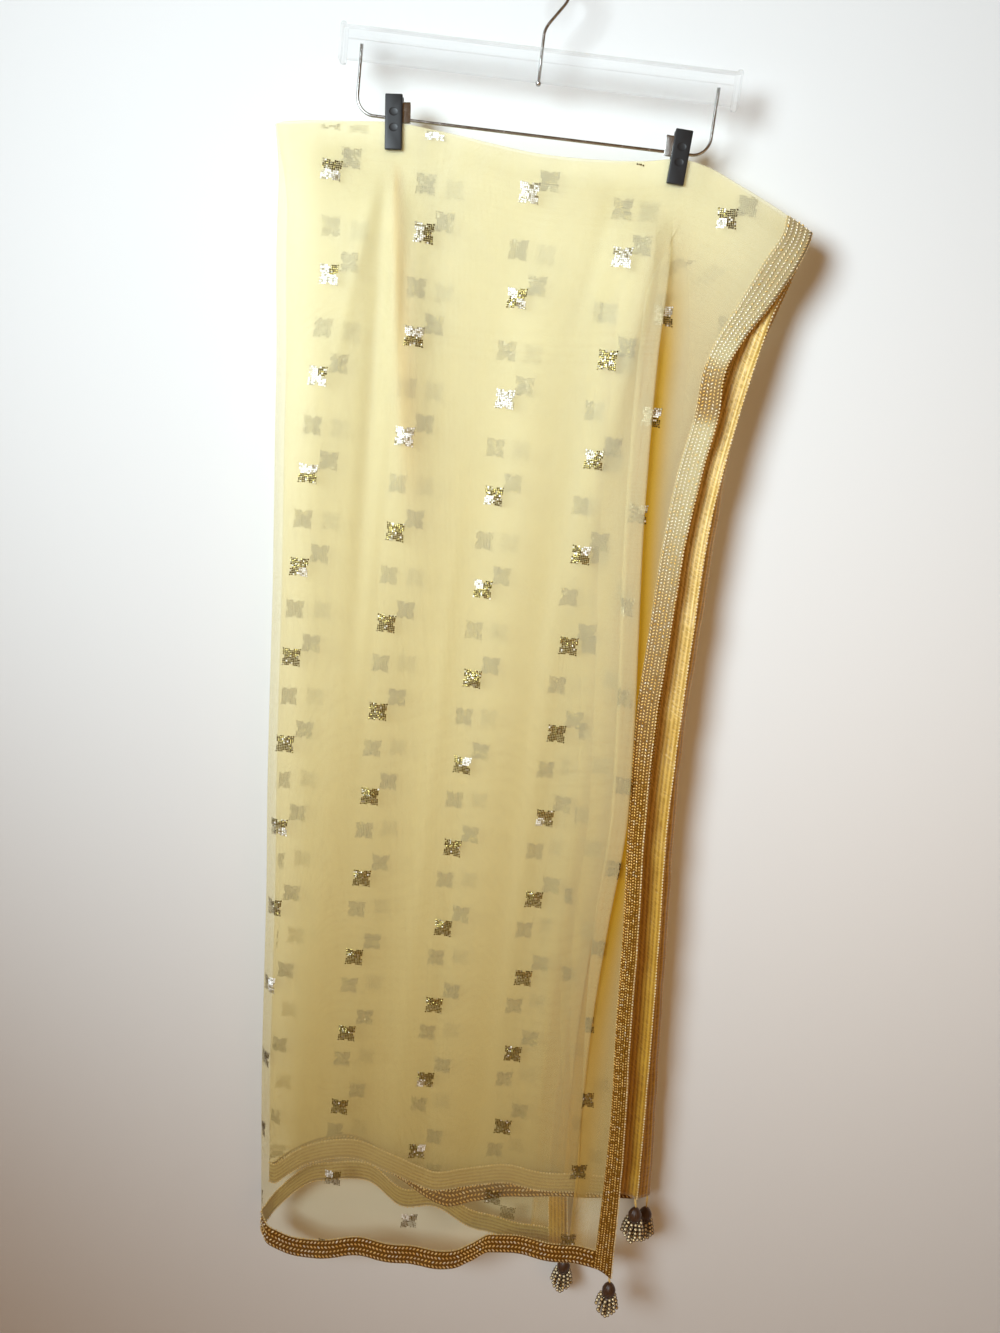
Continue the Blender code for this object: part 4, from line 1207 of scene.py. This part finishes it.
# Painted shade at the beads' edges.
BEAD_PAINTED_EDGE_SHADE = (0.06, 0.025, 0.006, 1)
BEAD_DARK = (0.85, 0.62, 0.28, 1)
BEAD_LIGHT = (1.0, 0.93, 0.68, 1)
StringRing = namedtuple("StringRing", "count root reach length turn beads")
STRING_RINGS = (
    StringRing(4, 0.0020, 0.0030, 0.0330, 0.0, 4),
    StringRing(8, 0.0045, 0.0082, 0.0265, 0.3, 4),
    StringRing(11, 0.0062, 0.0128, 0.0190, 0.5, 4),
)


def closed_rings(rings):
    """The points and faces of a form through rings of points, closed at both ends."""
    count, sides = rings.shape[:2]
    faces = []
    for r in range(0, (count - 1) * sides, sides):
        for s, following in enumerate([*range(1, sides), 0]):
            faces.append((r + s, r + following, r + sides + following, r + sides + s))
    faces.append(tuple(reversed(range(sides))))
    faces.append(tuple((count - 1) * sides + s for s in range(sides)))
    return rings.reshape(-1, 3), faces


def tube(path, radius, sides):
    """A round tube along a path."""
    path = np.asarray(path, dtype=float)
    along = unit(np.gradient(path, axis=0))
    spare = np.array([0.0, 1.0, 0.0])
    if abs(along[:, 1]).max() > 0.9:
        spare = np.array([1.0, 0.0, 0.0])
    one = unit(np.cross(along, spare))
    two = np.cross(along, one)
    angles = 2 * np.pi * np.arange(sides)[None, :, None] / sides
    return closed_rings(
        path[:, None] + radius * (np.cos(angles) * one[:, None] + np.sin(angles) * two[:, None]))


def lathe(profile, sides, height=0.0):
    """A turned form about the vertical through the origin, raised by a height."""
    angles = 2 * np.pi * np.arange(sides) / sides
    return closed_rings(np.array([
        [(r * math.cos(a), r * math.sin(a), z + height) for a in angles] for r, z in profile]))


def joined(parts):
    """Several (points, faces) as one, with the number of faces in each."""
    verts, faces, counts = [], [], []
    for points, polygons in parts:
        start = sum(len(v) for v in verts)
        verts.append(points)
        faces += [tuple(start + k for k in polygon) for polygon in polygons]
        counts.append(len(polygons))
    return np.concatenate(verts), faces, counts


def outward(piece):
    """Turns a closed piece's faces to point out."""
    bm = bmesh.new()
    bm.from_mesh(piece.data)
    bmesh.ops.recalc_face_normals(bm, faces=bm.faces)
    bm.to_mesh(piece.data)
    bm.free()


def bowed(start, bow, end, count):
    """Points on a curve from start to end that leans towards bow."""
    t = np.linspace(0, 1, count)[:, None]
    return (1 - t) ** 2 * start + 2 * t * (1 - t) * bow + t**2 * end


def silk(name, colour, threads_per_metre):
    """Wound or hanging thread: fine uneven strands across the piece's height."""
    material, tree, shader = new_material(name, colour, 0.38, Sheen_Weight=0.08)
    strands = noise(tree, stretched(tree, on_piece(tree), (1.0, 1.0, 0.08)), threads_per_metre)
    red, green, blue, _ = colour
    dark, pale = (red * 0.5, green * 0.5, blue * 0.5, 1), (red * 1.7, green * 1.6, blue * 1.5, 1)
    fill(shader, {
        "Base Color": blend(tree, strands, dark, pale),
        "Normal": bump(tree, strands, strength=0.4, distance=0.0002),
    })
    return material


tassel_bead, tree, shader = new_material("tassel_bead", BEAD_LIGHT, 0.22, metallic=0.20)
# Painted shade and highlight: each bead is painted dark brown where its surface turns away from the view,
# leaving a bright centre.
turned_away = made(tree, "ShaderNodeLayerWeight", {"Blend": 0.5}, "Facing")
rim = span(tree, turned_away, low=0.10, high=0.40)
plate = blend(tree, attribute(tree, "tone"), BEAD_DARK, BEAD_LIGHT)
fill(shader, {"Base Color": blend(tree, rim, plate, BEAD_PAINTED_EDGE_SHADE)})
cap_silk = silk("brown_silk", SILK_BROWN, 1800.0)
string_silk = silk("plum_silk", SILK_PLUM, 1400.0)

for layer in LAYERS:
    corner = tape_panel(layer, [1.0], np.array([1.0]))[0, 0]
    lean = INNER_TASSEL_LEAN * layer.side if layer.pair < 0 else 0.0
    thread_top = corner - np.array([2 * STRAND_RADIUS, 0.0, -LOOP_TUCKED])
    cap_middle = corner + np.array([0.0, lean, -SEAM - layer.loop - CAP_HEIGHT / 2])

    profile = []
    for k in range(CAP_RINGS + 1):
        z = -math.cos(math.pi * k / CAP_RINGS)
        r = CAP_RADIUS * math.sqrt(max(1 - z * z, 0.0)) * (1 - CAP_NARROWING * max(z, 0.0))
        profile.append((max(r, CAP_TIP), z * CAP_HEIGHT / 2))
    points, faces = lathe(profile, CAP_SIDES)
    around = np.arctan2(points[:, 1], points[:, 0])
    points[:, :2] *= (1 + CAP_THREAD_DEPTH * np.cos(CAP_THREADS * around))[:, None]
    parts = [(points + cap_middle, faces)]
    cap_top = cap_middle + np.array([0.0, 0.0, CAP_HEIGHT / 2 - LOOP_TUCKED])
    for side in (-1, 1):
        middle = (thread_top + cap_top) / 2 + np.array([side * LOOP_OPEN, 0.0, 0.0])
        parts.append(tube([thread_top, middle, cap_top], LOOP_RADIUS, 8))
    bead_places = []
    chance = np.random.default_rng(60 + layer.number)
    for ring in STRING_RINGS:
        for k in range(ring.count):
            angle = 2 * math.pi * (k + ring.turn) / ring.count
            around = np.array([math.cos(angle), math.sin(angle), 0.0])
            length = ring.length - STRING_UNEVEN * chance.random()
            root, bow, foot = (
                cap_middle + around * reach - np.array([0, 0, down]) for reach, down in (
                    (ring.root, 0.15 * CAP_HEIGHT),
                    (mix(ring.root, ring.reach, 0.95), 0.75 * CAP_HEIGHT),
                    (ring.reach, 0.35 * CAP_HEIGHT + length),
                ))
            path = bowed(root, bow, foot, 13)
            parts.append(tube(path, STRING_RADIUS, 5))
            run = run_of(path)
            at = run[-1] - STRING_BEAD / 2 - STRING_BEAD_STEP * np.arange(ring.beads)
            bead_places.extend(read_run(run, path, at))
    verts, faces, counts = joined(parts)
    name = f"corner_tassel_{layer.number}"
    head = mesh_piece(name, verts, faces, cap_silk, string_silk, loop_thread)
    for polygon in head.data.polygons:
        in_cap, in_loop = polygon.index < counts[0], polygon.index < sum(counts[:3])
        polygon.material_index = 0 if in_cap else 2 if in_loop else 1
    outward(head)
    strung = grains(
        f"{name}_beads", bead_places, np.zeros((len(bead_places), 3)),
        np.clip(0.40 + 0.2 * chance.normal(size=len(bead_places)), 0, 1), tassel_bead,
        Sides=10, Rings=7, Across=STRING_BEAD, Along=STRING_BEAD, Thickness=STRING_BEAD * 0.92,
        Unevenness=0.06, Seed=70 + layer.number,
    )
    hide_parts(f"tassel_{layer.number}")
    for piece in (head, strung):
        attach(piece, "root")
    on_the_net += [head, strung]

# ---------------------------------------------------------------------------------------
# The hook. A round steel wire bent to an open crook, whose straight stem goes down
# through the bar and ends in a swaged head underneath.

WIRE_RADIUS = 0.0015
WIRE_FIT = 0.0003
HOOK_INNER_RADIUS = 0.0185
HOOK_BEND_DROP = 0.052
HOOK_BEND_ANGLE, HOOK_END_ANGLE = -37, 205
HOOK_EASE = 0.006
HOOK_HEAD = 0.003
HEAD_PROFILE = (
    (0.0018, 0.0), (0.0022, 0.0003), (0.0025, 0.0012), (0.0029, 0.0024), (0.0029, 0.0029),
    (0.0026, 0.0030),
)
BAR_BOTTOM = 0.099
WIRE_SIDES = 20
STEEL_LIGHT = (0.62, 0.61, 0.59, 1)
STEEL_DARK = (0.30, 0.29, 0.28, 1)


def steel_material(name, way):
    """Drawn or rolled steel: fine streaks along the way it was drawn."""
    material, tree, shader = new_material(name, STEEL_LIGHT, 0.22, metallic=1.0)
    streaks = noise(tree, stretched(tree, on_piece(tree), way), scale=900.0, detail=3.0)
    fill(shader, {
        "Base Color": blend(tree, streaks, STEEL_DARK, STEEL_LIGHT),
        "Roughness": span(tree, streaks, to_low=0.14, to_high=0.34),
    })
    return material


def arc(centre_x, centre_drop, radius, start, end, steps):
    """Points on an arc in the hanger's plane, angles in degrees from +X towards +Z."""
    angles = np.radians(np.linspace(start, end, steps + 1))
    x, z = centre_x + radius * np.cos(angles), -centre_drop + radius * np.sin(angles)
    return np.stack([x, 0 * angles, z], axis=-1)


drawn_steel = steel_material("drawn_steel", (0.2, 1.0, 0.2))
crook = arc(
    0.0, HOOK_INNER_RADIUS, HOOK_INNER_RADIUS + WIRE_RADIUS, HOOK_BEND_ANGLE, HOOK_END_ANGLE, 96)
stem_foot = np.array([0.0, 0.0, -BAR_BOTTOM - HOOK_HEAD * 2 / 3])
stem_bend = np.array([0.0, 0.0, -HOOK_BEND_DROP])
eased = bowed(stem_bend - (0, 0, HOOK_EASE), stem_bend, mix(stem_bend, crook[0], 0.3), 9)
path = [stem_foot, mix(stem_foot, stem_bend, 0.5), *eased, mix(stem_bend, crook[0], 0.7), *crook]
hook_parts = [
    tube(path, WIRE_RADIUS, WIRE_SIDES), lathe(HEAD_PROFILE, 28, -BAR_BOTTOM - SEAM - HOOK_HEAD)]
verts, faces, _ = joined(hook_parts)
hook_wire = mesh_piece("hook_wire", verts, faces, drawn_steel)
outward(hook_wire)
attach(hook_wire, "root")
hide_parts("hook")

# ---------------------------------------------------------------------------------------
# The bar. One clear acrylic moulding: a web under a thicker rib, with a raised lip at
# each end and holes for the hook's stem and the wire below. It is the model's own node.

ACRYLIC = (0.93, 0.95, 0.955, 1)
clear_acrylic, tree, shader = new_material(
    "clear_acrylic", ACRYLIC, 0.06, Transmission_Weight=0.92, IOR=1.49, Alpha=0.42)
scuffs = noise(tree, on_piece(tree), scale=220.0, detail=5.0)
fill(shader, {"Roughness": span(tree, scuffs, to_low=0.03, to_high=0.16)})
for place in frame["nodes"]["hanger_bar"].material_slots:
    place.material = clear_acrylic

# ---------------------------------------------------------------------------------------
# The bail. The same wire, let into the bar at both ends and bent to a long flat run that
# carries the two clips.

BAIL_X, BAIL_DROP, BAIL_CORNER = 0.1735, 0.1465, 0.017
BAIL_SOCKET, BAIL_STRAIGHT = 0.014, 0.006
bail_top = -(BAR_BOTTOM - BAIL_SOCKET)
turn_x, turn_drop = BAIL_X - BAIL_CORNER, BAIL_DROP - BAIL_CORNER
path = [
    (-BAIL_X, 0, bail_top), (-BAIL_X, 0, bail_top - BAIL_STRAIGHT),
    *arc(-turn_x, turn_drop, BAIL_CORNER, 180, 270, 24), (0.0, 0.0, -BAIL_DROP),
    *arc(turn_x, turn_drop, BAIL_CORNER, 270, 360, 24),
    (BAIL_X, 0, bail_top - BAIL_STRAIGHT), (BAIL_X, 0, bail_top),
]
bail = mesh_piece("bail_rod", *tube(path, WIRE_RADIUS, WIRE_SIDES), drawn_steel)
outward(bail)
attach(bail, "root")
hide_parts("bail_wire")

# ---------------------------------------------------------------------------------------
# The clips. Two black moulded plates pinch the cloth from front and back, each with two
# shallow dimples. A bent steel sheet straddles the wire between them as a spring.

CLIP_HEIGHT, CLIP_TOP_DROP, CLIP_PLATE = 0.050, 0.126, 0.0035
JAW_HALF_GAP = 3 * PINCHED_HALF_GAP + NET_WALL / 2 + SEAM
SPRING_WIDTH, SPRING_SHEET, SPRING_SHIFT = 0.022, 0.0005, 0.00475
SPRING_TOP_DROP, SPRING_FOOT_DROP = 0.1315, 0.1503
DIMPLE_DROPS = (0.016, 0.030)
DIMPLE_SIZE = (0.0044, 0.0006, 0.0038)
CLIP_BLACK = (0.012, 0.012, 0.013, 1)

clip_plastic, tree, shader = new_material("clip_plastic", CLIP_BLACK, 0.34)
pebbles = noise(tree, on_piece(tree), scale=1500.0)
fill(shader, {
    "Roughness": span(tree, pebbles, to_low=0.38, to_high=0.54),
    "Normal": bump(tree, pebbles, strength=0.12, distance=0.0001),
})
rolled_steel = steel_material("rolled_steel", (1.0, 1.0, 0.15))


def settled(piece, turn):
    """The piece with its modifiers applied and its mesh turned to its place."""
    seen = piece.evaluated_get(bpy.context.evaluated_depsgraph_get())
    mesh = bpy.data.meshes.new_from_object(seen)
    piece.modifiers.clear()
    piece.data = mesh
    mesh.transform(turn)
    mesh.shade_smooth()
    mesh.set_sharp_from_angle(angle=math.radians(38))
    return piece


def block(name, low, high, *materials):
    (x0, y0, z0), (x1, y1, z1) = low, high
    corners = [(x, y, z) for x in (x0, x1) for y in (y0, y1) for z in (z0, z1)]
    faces = [(0, 1, 3, 2), (4, 6, 7, 5), (0, 4, 5, 1), (2, 3, 7, 6), (0, 2, 6, 4), (1, 5, 7, 3)]
    piece = mesh_piece(name, corners, faces, *materials)
    outward(piece)
    return piece


def dimple_tool(name, place):
    """A flat ball that presses one dimple."""
    tool = shown(name, bpy.data.meshes.new(name))
    bm = bmesh.new()
    bmesh.ops.create_uvsphere(bm, u_segments=28, v_segments=18, radius=1.0)
    bmesh.ops.scale(bm, verts=bm.verts, vec=DIMPLE_SIZE)
    bmesh.ops.translate(bm, verts=bm.verts, vec=place)
    bm.to_mesh(tool.data)
    bm.free()
    return tool


for clip in CLIPS:
    turn = Matrix.Translation((clip.x, 0, -BAIL_DROP))
    turn = turn @ Matrix.Rotation(math.radians(-clip.tilt), 4, "Y")
    top = BAIL_DROP - CLIP_TOP_DROP
    for face, side in (("front", -1), ("back", 1)):
        near, far = side * JAW_HALF_GAP, side * (JAW_HALF_GAP + CLIP_PLATE)
        plate = block(
            f"{clip.name}_clip_{face}_plate", (-CLIP_WIDTH / 2, min(near, far), top - CLIP_HEIGHT),
            (CLIP_WIDTH / 2, max(near, far), top), clip_plastic)
        given(plate.modifiers.new("edges", "BEVEL"), width=0.0011, segments=4)
        tools = [
            dimple_tool(f"dimple_{k}", (0.0, far, top - down)) for k, down in enumerate(DIMPLE_DROPS)]
        for tool in tools:
            given(plate.modifiers.new(tool.name, "BOOLEAN"), operation="DIFFERENCE", object=tool)
        settled(plate, turn)
        for tool in tools:
            bpy.data.objects.remove(tool)
        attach(plate, "root")
        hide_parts(f"clip_{clip.name}_{face}")

    inner = WIRE_RADIUS + WIRE_FIT
    outer = inner + SPRING_SHEET
    head, foot = BAIL_DROP - SPRING_TOP_DROP, BAIL_DROP - SPRING_FOOT_DROP
    bend = np.linspace(0, math.pi, 25)
    profile = [(outer, foot)]
    profile += [(outer * math.cos(a), head - outer + outer * math.sin(a)) for a in bend]
    profile += [(-outer, foot), (-inner, foot)]
    profile += [(inner * math.cos(a), head - outer + inner * math.sin(a)) for a in bend[::-1]]
    profile += [(inner, foot)]
    middle = clip.inner_side * SPRING_SHIFT
    verts, faces = closed_rings(np.array([
        [(middle + end * SPRING_WIDTH / 2, y, z) for y, z in profile] for end in (-1, 1)]))
    spring = mesh_piece(f"{clip.name}_clip_spring", verts, faces, rolled_steel)
    outward(spring)
    given(
        spring.modifiers.new("edges", "BEVEL"), width=0.00012, segments=2, limit_method="ANGLE",
        angle_limit=math.radians(50))
    settled(spring, turn)
    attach(spring, "root")
    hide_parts(f"clip_{clip.name}_spring")
